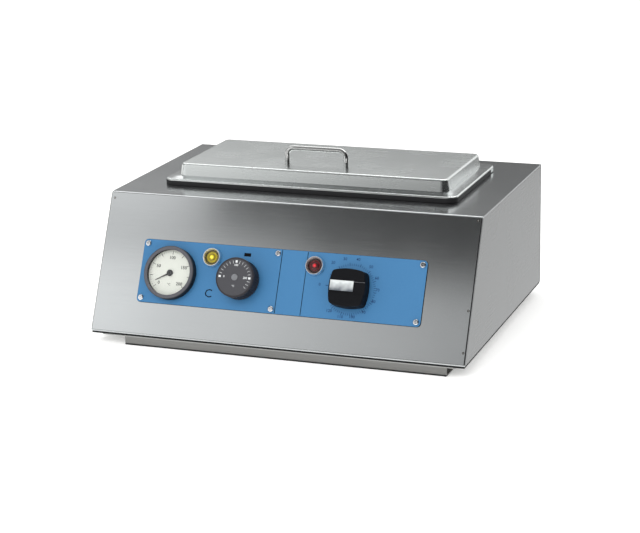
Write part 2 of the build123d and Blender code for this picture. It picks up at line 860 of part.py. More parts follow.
with BuildPart() as wool_box:
    with BuildSketch(Plane.XY.offset(box_bottom)):
        with Locations((0, lid_y)):
            RectangleRounded(box_length, box_width, chamber_corner)
    extrude(amount=wool_top - box_bottom)
    offset(amount=-wool_box_sheet, openings=wool_box.faces().sort_by(Axis.Z)[-1])
    with BuildSketch(Plane.XZ.offset(-tank_front)):
        with Locations(*capillary_places):
            Circle(capillary_hole)
    extrude(amount=2 * wool_thickness, mode=Mode.SUBTRACT)
    with BuildSketch(Plane.YZ):
        with Locations(*heater_lead_places):
            Circle(heater_bush_sleeve + screw_clearance)
    extrude(amount=-box_length, mode=Mode.SUBTRACT)
    with BuildSketch(Plane.YZ):
        with Locations((lid_y, cutout_z)):
            Circle(cutout_pocket)
    extrude(amount=box_length, mode=Mode.SUBTRACT)
save(wool_box.part, "wool_box")

# Hat-shaped supports between base pan and box
with BuildPart() as box_supports:
    with BuildSketch(Plane.XZ.offset(-lid_y - support_length / 2)) as hats:
        for support_x in (-support_spacing / 2, support_spacing / 2):
            with Locations((support_x, casing_bottom)):
                Rectangle(support_width, box_bottom - casing_bottom, align=(Align.CENTER, Align.MIN))
                Rectangle(support_width + 2 * support_foot, support_sheet, align=(Align.CENTER, Align.MIN))
                Rectangle(
                    support_width - 2 * support_sheet,
                    box_bottom - casing_bottom - support_sheet,
                    align=(Align.CENTER, Align.MIN),
                    mode=Mode.SUBTRACT,
                )
    extrude(amount=support_length)
save(box_supports.part, "box_supports")

# Serpentine heating rod: straight passes joined by half-round bends, both ends leaving at the left
rod_right = heater_straight / 2
rod_left = -heater_straight / 2
rod_ys = [lid_y + (i - (heater_passes - 1) / 2) * heater_pitch for i in range(heater_passes)]

with BuildPart() as heating_element:
    with BuildLine(Plane.XY.offset(heater_z)) as rod_path:
        for i in range(heater_passes):
            start_x = -heater_end if i == 0 else (rod_left if i % 2 == 0 else rod_right)
            end_x = -heater_end if i == heater_passes - 1 else (rod_right if i % 2 == 0 else rod_left)
            Line((start_x, rod_ys[i]), (end_x, rod_ys[i]))
            if i < heater_passes - 1:
                bulge = heater_pitch / 2 if i % 2 == 0 else -heater_pitch / 2
                ThreePointArc(
                    (end_x, rod_ys[i]), (end_x + bulge, rod_ys[i] + heater_pitch / 2), (end_x, rod_ys[i + 1])
                )
    with BuildSketch(Plane.YZ.offset(-heater_end)):
        with Locations(heater_lead_places[0]):
            Circle(heater_rod / 2)
    sweep()
save(heating_element.part, "heating_element")

# Strap clips under the rod, welded to the chamber floor
clip_half = (heater_passes - 1) * heater_pitch / 2 + heater_rod / 2 + 2 * heater_clip_sheet
clip_drop = heater_floor_gap + heater_rod + heater_clip_sheet

with BuildPart() as heater_clips:
    for clip_x in (-heater_clip_spacing / 2, heater_clip_spacing / 2):
        with BuildSketch(Plane.YZ.offset(clip_x - heater_clip_width / 2)):
            with Locations((lid_y, tank_bottom)):
                Rectangle(2 * clip_half, clip_drop, align=(Align.CENTER, Align.MAX))
                Rectangle(
                    2 * (clip_half - heater_clip_sheet),
                    clip_drop - heater_clip_sheet,
                    align=(Align.CENTER, Align.MAX),
                    mode=Mode.SUBTRACT,
                )
                with Locations((clip_half, 0)):
                    Rectangle(heater_clip_foot, heater_clip_sheet, align=Align.MAX)
                with Locations((-clip_half, 0)):
                    Rectangle(heater_clip_foot, heater_clip_sheet, align=(Align.MIN, Align.MAX))
        extrude(amount=heater_clip_width)
save(heater_clips.part, "heater_clips")

# Ceramic bushes where the rod leaves the box, and the studs on its ends
with BuildPart() as heater_bushes:
    with BuildSketch(Plane.YZ.offset(-box_length / 2)):
        with Locations(*heater_lead_places):
            Circle(heater_bush)
    extrude(amount=-heater_bush_rim)
    chamfer(heater_bushes.edges().group_by(Axis.X)[0], heater_bush_edge)
    with BuildSketch(Plane.YZ.offset(-box_length / 2)):
        with Locations(*heater_lead_places):
            Circle(heater_bush_sleeve)
    extrude(amount=wool_thickness / 2)
    with BuildSketch(Plane.YZ):
        with Locations(*heater_lead_places):
            Circle(heater_rod / 2 + thread_fit)
    extrude(amount=-box_length, mode=Mode.SUBTRACT)
save(heater_bushes.part, "heater_bushes")

with BuildPart() as heater_studs:
    with BuildSketch(Plane.YZ.offset(-heater_end)):
        with Locations(*heater_lead_places):
            Circle(heater_stud)
    extrude(amount=-heater_stud_length)
    with BuildSketch(Plane.YZ.offset(-heater_end)):
        with Locations(*heater_lead_places):
            RegularPolygon(nut_across_flats / 2, 6, major_radius=False)
    extrude(amount=-nut_height)
save(heater_studs.part, "heater_studs")


def round_tube(path_points, radius):
    """Capillary: straight runs with rounded corners, swept from the first point."""
    with BuildPart() as tube:
        with BuildLine() as tube_path:
            FilletPolyline(*path_points, radius=capillary_bend)
        with BuildSketch(Plane(origin=tube_path.line @ 0, z_dir=tube_path.line % 0)):
            Circle(radius)
        sweep()
    return tube.part


# Thermostat bulb and capillary
inward = -front_plane.z_dir
thermostat_rear = front_plane.from_local_coords((thermostat_x, thermostat_s, -sheet - thermostat_box_depth))
thermostat_bulb_end = Vector(thermostat_capillary_x - 2 * capillary_bend, bulb_y, thermostat_bulb_z)
thermostat_tube_points = [
    thermostat_rear,
    thermostat_rear + inward * capillary_lead,
    Vector(thermostat_capillary_x, wool_front - 2 * capillary_bend, thermostat_bulb_z),
    Vector(thermostat_capillary_x, bulb_y, thermostat_bulb_z),
    thermostat_bulb_end,
]

with BuildPart() as thermostat_bulb:
    add(round_tube(thermostat_tube_points, capillary_radius))
    with BuildSketch(Plane.YZ.offset(thermostat_bulb_end.X)):
        with Locations((bulb_y, thermostat_bulb_z)):
            Circle(bulb_radius)
    extrude(amount=-bulb_length)
    fillet(thermostat_bulb.faces().sort_by(Axis.X)[0].edges(), bulb_radius / 2)
save(thermostat_bulb.part, "thermostat_bulb")

# Thermometer bulb and capillary, which leaves the case beside its clamp
gauge_back = -sheet - gauge_case_depth
thermometer_rear = front_plane.from_local_coords((gauge_x, gauge_s + clamp_width, gauge_back))
thermometer_bulb_start = Vector(thermometer_capillary_x + 2 * capillary_bend, bulb_y, thermometer_bulb_z)
thermometer_tube_points = [
    thermometer_rear,
    thermometer_rear + inward * capillary_lead,
    Vector(thermometer_capillary_x, wool_front - 2 * capillary_bend, thermometer_bulb_z),
    Vector(thermometer_capillary_x, bulb_y, thermometer_bulb_z),
    thermometer_bulb_start,
]

with BuildPart() as thermometer_bulb:
    add(round_tube(thermometer_tube_points, capillary_radius))
    with BuildSketch(Plane.YZ.offset(thermometer_bulb_start.X)):
        with Locations((bulb_y, thermometer_bulb_z)):
            Circle(bulb_radius)
    extrude(amount=bulb_length)
    fillet(thermometer_bulb.faces().sort_by(Axis.X)[-1].edges(), bulb_radius / 2)
save(thermometer_bulb.part, "thermometer_bulb")

# Spring clips that hold both bulbs against the tank
bulb_middles = [
    (thermostat_bulb_end.X - bulb_length / 2, thermostat_bulb_z),
    (thermometer_bulb_start.X + bulb_length / 2, thermometer_bulb_z),
]

with BuildPart() as bulb_clips:
    for middle_x, bulb_z in bulb_middles:
        for side in (-1, 1):
            with BuildSketch(Plane.YZ.offset(middle_x + side * clip_spacing / 2 - clip_width / 2)):
                with Locations((bulb_y, bulb_z)):
                    Circle(bulb_radius + thread_fit + clip_sheet)
                    Rectangle(
                        bulb_radius + bulb_wall_gap,
                        2 * (bulb_radius + thread_fit + clip_sheet),
                        align=(Align.MIN, Align.CENTER),
                    )
                    Circle(bulb_radius + thread_fit, mode=Mode.SUBTRACT)
                    Rectangle(
                        bulb_radius + bulb_wall_gap,
                        2 * (bulb_radius + thread_fit),
                        align=(Align.MIN, Align.CENTER),
                        mode=Mode.SUBTRACT,
                    )
                with Locations((tank_front, bulb_z)):
                    Rectangle(
                        clip_width,
                        clip_width + bulb_radius,
                        align=(Align.MIN, Align.CENTER),
                        mode=Mode.SUBTRACT,
                    )
            extrude(amount=clip_width)
save(bulb_clips.part, "bulb_clips")

# Safety cut-out on the end wall of the tank
with BuildPart() as safety_cutout:
    with BuildSketch(Plane.YZ.offset(tank_end)):
        with Locations((lid_y, cutout_z)):
            Circle(cutout_radius)
    extrude(amount=cutout_flange)
    with BuildSketch(Plane.YZ.offset(tank_end)):
        with Locations((lid_y, cutout_z)):
            Circle(cutout_radius - cutout_flange)
    extrude(amount=cutout_height)
    fillet(safety_cutout.faces().sort_by(Axis.X)[-1].edges(), cutout_flange)
    with BuildSketch(Plane.YZ.offset(tank_end + cutout_height)):
        with Locations((lid_y, cutout_z)):
            with GridLocations(lamp_tab_pitch, 0, 2, 1):
                Rectangle(lamp_tab_sheet, lamp_tab_width)
    extrude(amount=lamp_tab_length)
save(safety_cutout.part, "safety_cutout")

# Control panel
with BuildPart() as control_panel:
    with BuildSketch(front_plane):
        with Locations((panel_centre_x, panel_centre_s)):
            RectangleRounded(panel_length, panel_height, panel_corner)
        with Locations((gauge_x, gauge_s)):
            Circle(gauge_case / 2 + control_clearance, mode=Mode.SUBTRACT)
        with Locations(*lamp_places):
            Circle(lamp_body / 2 + control_clearance, mode=Mode.SUBTRACT)
        with Locations((thermostat_x, thermostat_s), (timer_x, timer_s)):
            Circle(spindle_hole / 2, mode=Mode.SUBTRACT)
        with Locations(*panel_screw_places):
            Circle(panel_screw_shank / 2 + screw_clearance, mode=Mode.SUBTRACT)
    extrude(amount=panel_sheet)
save(control_panel.part, "control_panel")

with BuildPart() as panel_screws:
    with BuildSketch(front_plane.offset(panel_sheet)):
        with Locations(*panel_screw_places):
            Circle(panel_screw_head / 2)
    extrude(amount=panel_screw_rise)
    fillet(panel_screws.edges().group_by(front_axis)[-1], panel_screw_round)
    with BuildSketch(front_plane.offset(panel_sheet + panel_screw_rise)):
        with Locations(*panel_screw_places):
            Rectangle(panel_screw_cross, panel_screw_slot)
            Rectangle(panel_screw_slot, panel_screw_cross)
    extrude(amount=-panel_screw_recess, mode=Mode.SUBTRACT)
    with BuildSketch(front_plane.offset(panel_sheet)):
        with Locations(*panel_screw_places):
            Circle(panel_screw_shank / 2)
    extrude(amount=-panel_screw_length)
save(panel_screws.part, "panel_screws")

# Thermometer: case, movement, dial, pointer, glass and bezel share one axis
gauge_section = section_plane(gauge_x, gauge_s)
gauge_axis = control_axis(gauge_x, gauge_s)
bezel_front = panel_sheet + gauge_proud
glass_front = bezel_front - gauge_lip
glass_back = glass_front - gauge_glass
dial_front = bezel_front - gauge_dial_recess
dial_back = dial_front - gauge_dial_sheet
case_radius = gauge_case / 2
case_rim = glass_back - seat_gap
gauge_flange_sheet = gauge_wall

with BuildPart() as thermometer_case:
    with BuildSketch(gauge_section) as case_half:
        with BuildLine():
            Polyline(
                (0, gauge_back),
                (case_radius, gauge_back),
                (case_radius, panel_sheet),
                (gauge_flange / 2, panel_sheet),
                (gauge_flange / 2, panel_sheet + gauge_flange_sheet),
                (case_radius, panel_sheet + gauge_flange_sheet),
                (case_radius, case_rim),
                (case_radius - gauge_wall, case_rim),
                (case_radius - gauge_wall, gauge_back + gauge_wall),
                (0, gauge_back + gauge_wall),
                close=True,
            )
        make_face()
    revolve(axis=gauge_axis)
    back_rim = thermometer_case.edges().filter_by(GeomType.CIRCLE).sort_by(front_axis)
    fillet(back_rim[0], gauge_wall)
save(thermometer_case.part, "thermometer_case")

with BuildPart() as thermometer_movement:
    with BuildSketch(front_plane.offset(dial_back)):
        with Locations((gauge_x, gauge_s)):
            Circle(gauge_movement / 2)
            Circle(pointer_shaft + spindle_fit, mode=Mode.SUBTRACT)
    extrude(amount=gauge_back + gauge_wall - dial_back)
save(thermometer_movement.part, "thermometer_movement")

with BuildPart() as thermometer_dial:
    with BuildSketch(front_plane.offset(dial_back)):
        with Locations((gauge_x, gauge_s)):
            Circle(case_radius - gauge_wall - seat_gap)
            Circle(pointer_shaft + spindle_fit, mode=Mode.SUBTRACT)
    extrude(amount=gauge_dial_sheet)
save(thermometer_dial.part, "thermometer_dial")

with BuildPart() as thermometer_bezel:
    with BuildSketch(gauge_section) as bezel_half:
        with BuildLine():
            Polyline(
                (gauge_bezel / 2, panel_sheet + seat_gap),
                (gauge_bezel / 2, bezel_front - gauge_lip),
                (gauge_bezel / 2 - gauge_lip, bezel_front),
                (gauge_bezel / 2 - gauge_ring, bezel_front - seat_gap),
                (gauge_bezel / 2 - gauge_ring, glass_front),
                (case_radius + 2 * seat_gap, glass_front),
                (case_radius + 2 * seat_gap, panel_sheet + gauge_flange_sheet),
                (gauge_flange / 2, panel_sheet + gauge_flange_sheet),
                (gauge_flange / 2, panel_sheet + seat_gap),
                close=True,
            )
        make_face()
        fillet(bezel_half.vertices().sort_by(Axis.Y)[-2:], gauge_bezel_round)
    revolve(axis=gauge_axis)
save(thermometer_bezel.part, "thermometer_bezel")

with BuildPart() as thermometer_glass:
    with BuildSketch(front_plane.offset(glass_back)):
        with Locations((gauge_x, gauge_s)):
            Circle(case_radius + seat_gap)
    extrude(amount=gauge_glass)
save(thermometer_glass.part, "thermometer_glass")

with BuildPart() as thermometer_pointer:
    with BuildSketch(front_plane.offset(dial_front + pointer_gap)):
        with Locations((gauge_x, gauge_s)):
            Polygon(
                (-pointer_tail, -pointer_width),
                (pointer_length, -pointer_tip),
                (pointer_length, pointer_tip),
                (-pointer_tail, pointer_width),
                rotation=pointer_rest_angle,
                align=None,
            )
            Circle(gauge_hub / 2)
    extrude(amount=pointer_thickness)
    with BuildSketch(front_plane.offset(dial_front + pointer_gap)):
        with Locations((gauge_x, gauge_s)):
            Circle(gauge_hub / 2)
    extrude(amount=gauge_hub_height)
    with BuildSketch(front_plane.offset(dial_front + pointer_gap)):
        with Locations((gauge_x, gauge_s)):
            Circle(pointer_shaft)
    extrude(amount=-pointer_shaft_length)
save(thermometer_pointer.part, "thermometer_pointer")

# U-shaped clamp that pulls the thermometer against the panel
with BuildPart() as thermometer_clamp:
    with BuildSketch(section_plane(gauge_x, gauge_s).offset(-clamp_width / 2)):
        with Locations((0, -sheet)):
            Rectangle(
                gauge_case + 2 * (clamp_gap + clamp_sheet),
                gauge_case_depth + clamp_sheet,
                align=(Align.CENTER, Align.MAX),
            )
            Rectangle(
                gauge_case + 2 * clamp_gap,
                gauge_case_depth,
                align=(Align.CENTER, Align.MAX),
                mode=Mode.SUBTRACT,
            )
    extrude(amount=clamp_width)
    with BuildSketch(front_plane.offset(gauge_back - clamp_sheet)):
        with Locations((gauge_x, gauge_s)):
            RegularPolygon(nut_across_flats / 2, 6, major_radius=False)
    extrude(amount=-nut_height)
save(thermometer_clamp.part, "thermometer_clamp")

# Pilot lamps: bezels, lenses, bodies with tabs, and nuts behind the sheet
with BuildPart() as lamp_bezels:
    for lamp_x, lamp_row in lamp_places:
        with BuildSketch(section_plane(lamp_x, lamp_row)):
            with BuildLine():
                Polyline(
                    (lamp_window / 2, panel_sheet),
                    (lamp_bezel / 2, panel_sheet),
                    (lamp_bezel / 2, panel_sheet + lamp_bezel_height / 2),
                    (lamp_bezel / 2 - lamp_rim / 2, panel_sheet + lamp_bezel_height),
                    (lamp_bezel / 2 - lamp_rim, panel_sheet + lamp_bezel_height),
                    (lamp_window / 2, panel_sheet + lamp_bezel_height / 2),
                    close=True,
                )
            make_face()
        revolve(axis=control_axis(lamp_x, lamp_row))
save(lamp_bezels.part, "lamp_bezels")


def lamp_lens(lamp_x):
    with BuildPart() as lens:
        with BuildSketch(section_plane(lamp_x, lamp_s)):
            with BuildLine():
                Polyline(
                    (0, panel_sheet),
                    (lamp_window / 2 - thread_fit, panel_sheet),
                    (lamp_window / 2 - thread_fit, panel_sheet + lamp_lens_base),
                    (lamp_lens_step / 2, panel_sheet + lamp_lens_base),
                    (lamp_lens_step / 2, panel_sheet + lamp_lens_shoulder),
                )
                TangentArc(
                    (0, panel_sheet + lamp_lens_rise),
                    (lamp_lens_step / 2, panel_sheet + lamp_lens_shoulder),
                    tangent=(1, 0),
                )
                Line((0, panel_sheet + lamp_lens_rise), (0, panel_sheet))
            make_face()
        revolve(axis=control_axis(lamp_x, lamp_s))
    return lens.part


save(lamp_lens(yellow_lamp_x), "yellow_lamp_lens")
save(lamp_lens(red_lamp_x), "red_lamp_lens")

with BuildPart() as lamp_bodies:
    with BuildSketch(front_plane.offset(panel_sheet)):
        with Locations(*lamp_places):
            Circle(lamp_body / 2)
    extrude(amount=-lamp_body_length)
    with BuildSketch(front_plane.offset(panel_sheet - lamp_body_length)):
        with Locations(*lamp_places):
            with GridLocations(lamp_tab_pitch, 0, 2, 1):
                Rectangle(lamp_tab_sheet, lamp_tab_width)
    extrude(amount=-lamp_tab_length)
save(lamp_bodies.part, "lamp_bodies")

with BuildPart() as lamp_nuts:
    with BuildSketch(front_plane.offset(-sheet)):
        with Locations(*lamp_places):
            RegularPolygon(lamp_nut / 2, 6, major_radius=False)
            Circle(lamp_body / 2 + thread_fit, mode=Mode.SUBTRACT)
    extrude(amount=-lamp_nut_height)
save(lamp_nuts.part, "lamp_nuts")


def control_body(x, s, size, depth):
    """Body of a control behind the front sheet, bored for its spindle."""
    with BuildPart() as body:
        with BuildSketch(front_plane.offset(-sheet)):
            with Locations((x, s)):
                RectangleRounded(size, size, box_round)
        extrude(amount=-depth)
        with BuildSketch(front_plane.offset(-sheet)):
            with Locations((x, s)):
                Circle(spindle / 2 + spindle_fit)
        extrude(amount=-spindle_seat - seat_gap, mode=Mode.SUBTRACT)
    return body.part


def control_spindle(x, s, length):
    """Round spindle in the body, with a flat on the end that carries the knob."""
    with BuildPart() as shaft:
        with BuildSketch(front_plane.offset(-sheet - spindle_seat)):
            with Locations((x, s)):
                Circle(spindle / 2)
        extrude(amount=sheet + spindle_seat + panel_sheet + length)
        with BuildSketch(front_plane.offset(panel_sheet + knob_floor_gap)):
            with Locations((x, s + spindle / 2 - spindle_flat)):
                Rectangle(spindle, spindle, align=(Align.CENTER, Align.MIN))
        extrude(amount=length, mode=Mode.SUBTRACT)
    return shaft.part


# Thermostat
thermostat_spindle_length = thermostat_knob_height - thermostat_cap_sheet - knob_wall
save(control_body(thermostat_x, thermostat_s, thermostat_box, thermostat_box_depth), "thermostat_body")
save(control_spindle(thermostat_x, thermostat_s, thermostat_spindle_length), "thermostat_spindle")

# Thermostat knob: hollow, fluted round the side and recessed for its dial cap
knob_base = panel_sheet + knob_floor_gap
thermostat_face = panel_sheet + thermostat_knob_height

with BuildPart() as thermostat_knob_body:
    with BuildSketch(section_plane(thermostat_x, thermostat_s)) as knob_half:
        with BuildLine():
            Polyline(
                (spindle / 2 + spindle_fit, knob_base),
                (knob_hub / 2, knob_base),
                (knob_hub / 2, knob_base + knob_hollow),
                (thermostat_knob / 2 - knob_wall, knob_base + knob_hollow),
                (thermostat_knob / 2 - knob_wall, knob_base),
                (thermostat_knob / 2, knob_base),
                (thermostat_knob / 2, thermostat_face - thermostat_knob_edge),
                (thermostat_knob / 2 - thermostat_knob_edge, thermostat_face),
                (thermostat_cap / 2 + thread_fit, thermostat_face),
                (thermostat_cap / 2 + thread_fit, thermostat_face - thermostat_cap_sheet),
                (0, thermostat_face - thermostat_cap_sheet),
                (0, panel_sheet + thermostat_spindle_length + seat_gap),
                (spindle / 2 + spindle_fit, panel_sheet + thermostat_spindle_length + seat_gap),
                close=True,
            )
        make_face()
    revolve(axis=control_axis(thermostat_x, thermostat_s))
    with BuildSketch(front_plane.offset(knob_base)):
        with Locations((thermostat_x, thermostat_s)):
            with PolarLocations(thermostat_knob / 2, thermostat_flutes):
                Circle(thermostat_flute)
    extrude(amount=thermostat_knob_height - knob_floor_gap - 2 * thermostat_knob_edge, mode=Mode.SUBTRACT)
    with BuildSketch(front_plane.offset(knob_base)):
        with Locations((thermostat_x, thermostat_s + spindle / 2 - spindle_flat + spindle_fit)):
            Rectangle(spindle, spindle_flat, align=(Align.CENTER, Align.MIN))
    extrude(amount=thermostat_spindle_length + seat_gap - knob_floor_gap)
save(thermostat_knob_body.part, "thermostat_knob")

with BuildPart() as thermostat_knob_cap:
    with BuildSketch(front_plane.offset(thermostat_face - thermostat_cap_sheet)):
        with Locations((thermostat_x, thermostat_s)):
            Circle(thermostat_cap / 2)
    extrude(amount=thermostat_cap_sheet)
save(thermostat_knob_cap.part, "thermostat_knob_cap")

# Timer
timer_spindle_length = timer_knob_height - timer_channel_depth - knob_wall
save(control_body(timer_x, timer_s, timer_box, timer_box_depth), "timer_body")
save(control_spindle(timer_x, timer_s, timer_spindle_length), "timer_spindle")

# Timer knob: four bulged sides, a channel across the face and a plate in it
timer_half = timer_knob / 2
timer_corner = timer_half - timer_knob_bulge
timer_face = panel_sheet + timer_knob_height
timer_channel_top = timer_s + timer_channel / 2
timer_turns = [(-1, -1), (1, -1), (1, 1), (-1, 1)]
timer_corners = [(timer_x + a * timer_corner, timer_s + b * timer_corner) for a, b in timer_turns]
timer_bulges = [
    (timer_x + a * timer_half, timer_s + b * timer_half) for a, b in [(0, -1), (1, 0), (0, 1), (-1, 0)]
]

with BuildPart() as timer_knob_body:
    with BuildSketch(front_plane.offset(knob_base)) as timer_outline:
        with BuildLine():
            for i in range(4):
                ThreePointArc(timer_corners[i], timer_bulges[i], timer_corners[(i + 1) % 4])
        make_face()
        fillet(timer_outline.vertices(), timer_knob_corner)
    extrude(amount=timer_knob_height - knob_floor_gap, taper=timer_knob_taper)
    fillet(timer_knob_body.edges().group_by(front_axis)[-1], timer_knob_edge)
    with BuildSketch(front_plane.offset(timer_face)):
        with Locations((timer_x, timer_s)):
            Rectangle(timer_knob + timer_knob_bulge, timer_channel)
    extrude(amount=-timer_channel_depth, mode=Mode.SUBTRACT)
    with BuildSketch(front_plane.offset(knob_base)):
        with Locations((timer_x, timer_s)):
            Circle(timer_corner - knob_wall)
            Circle(knob_hub / 2, mode=Mode.SUBTRACT)
    extrude(amount=timer_hollow, mode=Mode.SUBTRACT)
    with BuildSketch(front_plane.offset(knob_base)):
        with Locations((timer_x, timer_s)):
            Circle(spindle / 2 + spindle_fit)
        with Locations((timer_x, timer_s + spindle / 2 - spindle_flat + spindle_fit)):
            Rectangle(spindle, spindle, align=(Align.CENTER, Align.MIN), mode=Mode.SUBTRACT)
    extrude(amount=timer_spindle_length + seat_gap - knob_floor_gap, mode=Mode.SUBTRACT)
save(timer_knob_body.part, "timer_knob")

with BuildPart() as timer_knob_plate:
    with BuildSketch(front_plane.offset(timer_face - timer_channel_depth)):
        with Locations((timer_x - timer_half + timer_plate_inset, timer_channel_top - thread_fit)):
            Rectangle(timer_plate_length, timer_plate_height, align=(Align.MIN, Align.MAX))
    extrude(amount=timer_plate_sheet)
    chamfer(timer_knob_plate.edges().group_by(front_axis)[-1], timer_plate_edge)
save(timer_knob_plate.part, "timer_knob_plate")

# Mains inlet in the back, with a cropped cavity and three blades
inlet_pin_places = [
    (-inlet_x - inlet_pin_spacing, -inlet_pin_step),
    (-inlet_x, inlet_pin_step),
    (-inlet_x + inlet_pin_spacing, -inlet_pin_step),
]

with BuildPart() as mains_inlet:
    with BuildSketch(back_plane):
        with Locations((-inlet_x, inlet_z)):
            SlotOverall(inlet_plate_width, inlet_plate_height)
    extrude(amount=inlet_plate)
    chamfer(mains_inlet.edges().group_by(Axis.Y)[-1], inlet_plate_edge)
    with BuildSketch(back_plane):
        with Locations((-inlet_x, inlet_z)):
            RectangleRounded(inlet_body_width, inlet_body_height, side_bend)
    extrude(amount=-inlet_body_depth)
    with BuildSketch(back_plane.offset(inlet_plate)) as cavity:
        with Locations((-inlet_x, inlet_z)):
            Rectangle(inlet_cavity_width, inlet_cavity_height)
        chamfer(cavity.vertices().group_by(Axis.Y)[-1], inlet_cavity_chamfer)
    extrude(amount=-inlet_cavity_depth, mode=Mode.SUBTRACT)
    with BuildSketch(back_plane.offset(inlet_plate)):
        with Locations(*inlet_screw_places):
            Circle(inlet_screw_head + screw_clearance)
    extrude(amount=-inlet_plate, taper=inlet_countersink, mode=Mode.SUBTRACT)
    with BuildSketch(back_plane.offset(inlet_plate)):
        with Locations(*inlet_screw_places):
            Circle(inlet_screw + screw_clearance)
    extrude(amount=-inlet_plate, mode=Mode.SUBTRACT)
    with BuildSketch(back_plane.offset(-inlet_body_depth)):
        for pin_x, pin_z in inlet_pin_places:
            with Locations((pin_x, inlet_z + pin_z)):
                Rectangle(inlet_pin_width + 2 * thread_fit, inlet_pin_height + 2 * thread_fit)
    extrude(amount=inlet_body_depth, mode=Mode.SUBTRACT)
save(mains_inlet.part, "mains_inlet")

with BuildPart() as inlet_pins:
    with BuildSketch(back_plane.offset(inlet_plate - inlet_cavity_depth + inlet_pin_length)):
        for pin_x, pin_z in inlet_pin_places:
            with Locations((pin_x, inlet_z + pin_z)):
                Rectangle(inlet_pin_width, inlet_pin_height)
    extrude(amount=-inlet_plate + inlet_cavity_depth - inlet_pin_length - inlet_body_depth - inlet_tab_length)
    chamfer(inlet_pins.edges().group_by(Axis.Y)[-1], inlet_pin_edge)
save(inlet_pins.part, "inlet_pins")

with BuildPart() as inlet_screws:
    with BuildSketch(back_plane.offset(inlet_plate)):
        with Locations(*inlet_screw_places):
            Circle(inlet_screw_head)
    extrude(amount=-inlet_screw_sink, taper=inlet_countersink)
    with BuildSketch(back_plane.offset(inlet_plate / 2)):
        with Locations(*inlet_screw_places):
            Circle(inlet_screw)
    extrude(amount=-inlet_screw_length)
    with BuildSketch(back_plane.offset(-sheet)):
        with Locations(*inlet_screw_places):
            RegularPolygon(inlet_nut, 6, major_radius=False)
    extrude(amount=-inlet_screw_head)
save(inlet_screws.part, "inlet_screws")

# Terminal block on the base pan, and the earth stud
terminal_y = back_y - terminal_inset
terminal_places = [
    (terminal_x + (i - (terminal_ways - 1) / 2) * terminal_pitch, terminal_y) for i in range(terminal_ways)
]
terminal_slots = [
    (terminal_x + (i + 1 - terminal_ways / 2) * terminal_pitch, terminal_y) for i in range(terminal_ways - 1)
]

with BuildPart() as terminal_block:
    with BuildSketch(Plane.XY.offset(casing_bottom)):
        with Locations((terminal_x, terminal_y)):
            Rectangle(terminal_ways * terminal_pitch, terminal_depth)
    extrude(amount=terminal_height)
    with BuildSketch(Plane.XY.offset(casing_bottom + terminal_height)):
        with Locations(*terminal_places):
            Circle(terminal_screw + screw_clearance)
    extrude(amount=-terminal_height / 2, mode=Mode.SUBTRACT)
    with BuildSketch(Plane.XY.offset(casing_bottom + terminal_height)):
        with Locations(*terminal_slots):
            Rectangle(terminal_slot, terminal_depth)
    extrude(amount=-terminal_slot_depth, mode=Mode.SUBTRACT)
save(terminal_block.part, "terminal_block")

with BuildPart() as terminal_screws:
    with BuildSketch(Plane.XY.offset(casing_bottom + terminal_height / 2)):
        with Locations(*terminal_places):
            Circle(terminal_screw)
    extrude(amount=terminal_height / 2 - terminal_slot)
save(terminal_screws.part, "terminal_screws")

with BuildPart() as earth_stud:
    with BuildSketch(Plane.XY.offset(casing_bottom)):
        with Locations((earth_x, terminal_y)):
            Circle(earth_stud_radius)
    extrude(amount=earth_stud_height)
    with BuildSketch(Plane.XY.offset(casing_bottom)):
        with Locations((earth_x, terminal_y)):
            RegularPolygon(nut_across_flats / 2, 6, major_radius=False)
    extrude(amount=nut_height)
save(earth_stud.part, "earth_stud")

# Perforated instrument tray on four pressed feet
tray_bottom = tank_bottom + tank_sheet + seat_gap + tray_foot
tray_top = tray_bottom + tray_height
tray_foot_spacing_x = tray_hole_pitch_x * (tray_columns - 2)
tray_foot_spacing_y = tray_hole_pitch_y * (tray_rows - 2)

with BuildPart() as instrument_tray:
    with BuildSketch(Plane.XY.offset(tray_bottom)):
        with Locations((0, lid_y)):
            RectangleRounded(tray_length, tray_width, tray_corner)
    extrude(amount=tray_height)
    fillet(instrument_tray.edges().group_by(Axis.Z)[0], tray_round)
    offset(amount=-tray_sheet, openings=instrument_tray.faces().sort_by(Axis.Z)[-1])
    with BuildSketch(Plane.XY.offset(tray_top)):
        with Locations((0, lid_y)):
            RectangleRounded(tray_length + 2 * tray_rim, tray_width + 2 * tray_rim, tray_corner + tray_rim)
            RectangleRounded(
                tray_length - 2 * tray_sheet,
                tray_width - 2 * tray_sheet,
                tray_corner - tray_sheet,
                mode=Mode.SUBTRACT,
            )
    extrude(amount=-tray_sheet)
    with BuildSketch(Plane.XY.offset(tray_bottom)):
        with Locations((0, lid_y)):
            with GridLocations(tray_hole_pitch_x, tray_hole_pitch_y, tray_columns, tray_rows):
                Circle(tray_hole / 2)
    extrude(amount=2 * tray_sheet, mode=Mode.SUBTRACT)
    with BuildSketch(Plane.XY.offset(tray_bottom)):
        with Locations((0, lid_y)):
            with GridLocations(tray_foot_spacing_x, tray_foot_spacing_y, 2, 2):
                Circle(tray_foot_radius)
    extrude(amount=-tray_foot)
save(instrument_tray.part, "instrument_tray")

# Lifting grips inside the two ends of the tray
grip_x = tray_length / 2 - tray_sheet - grip_rod / 2
grip_low = tray_bottom + tray_round + grip_rod

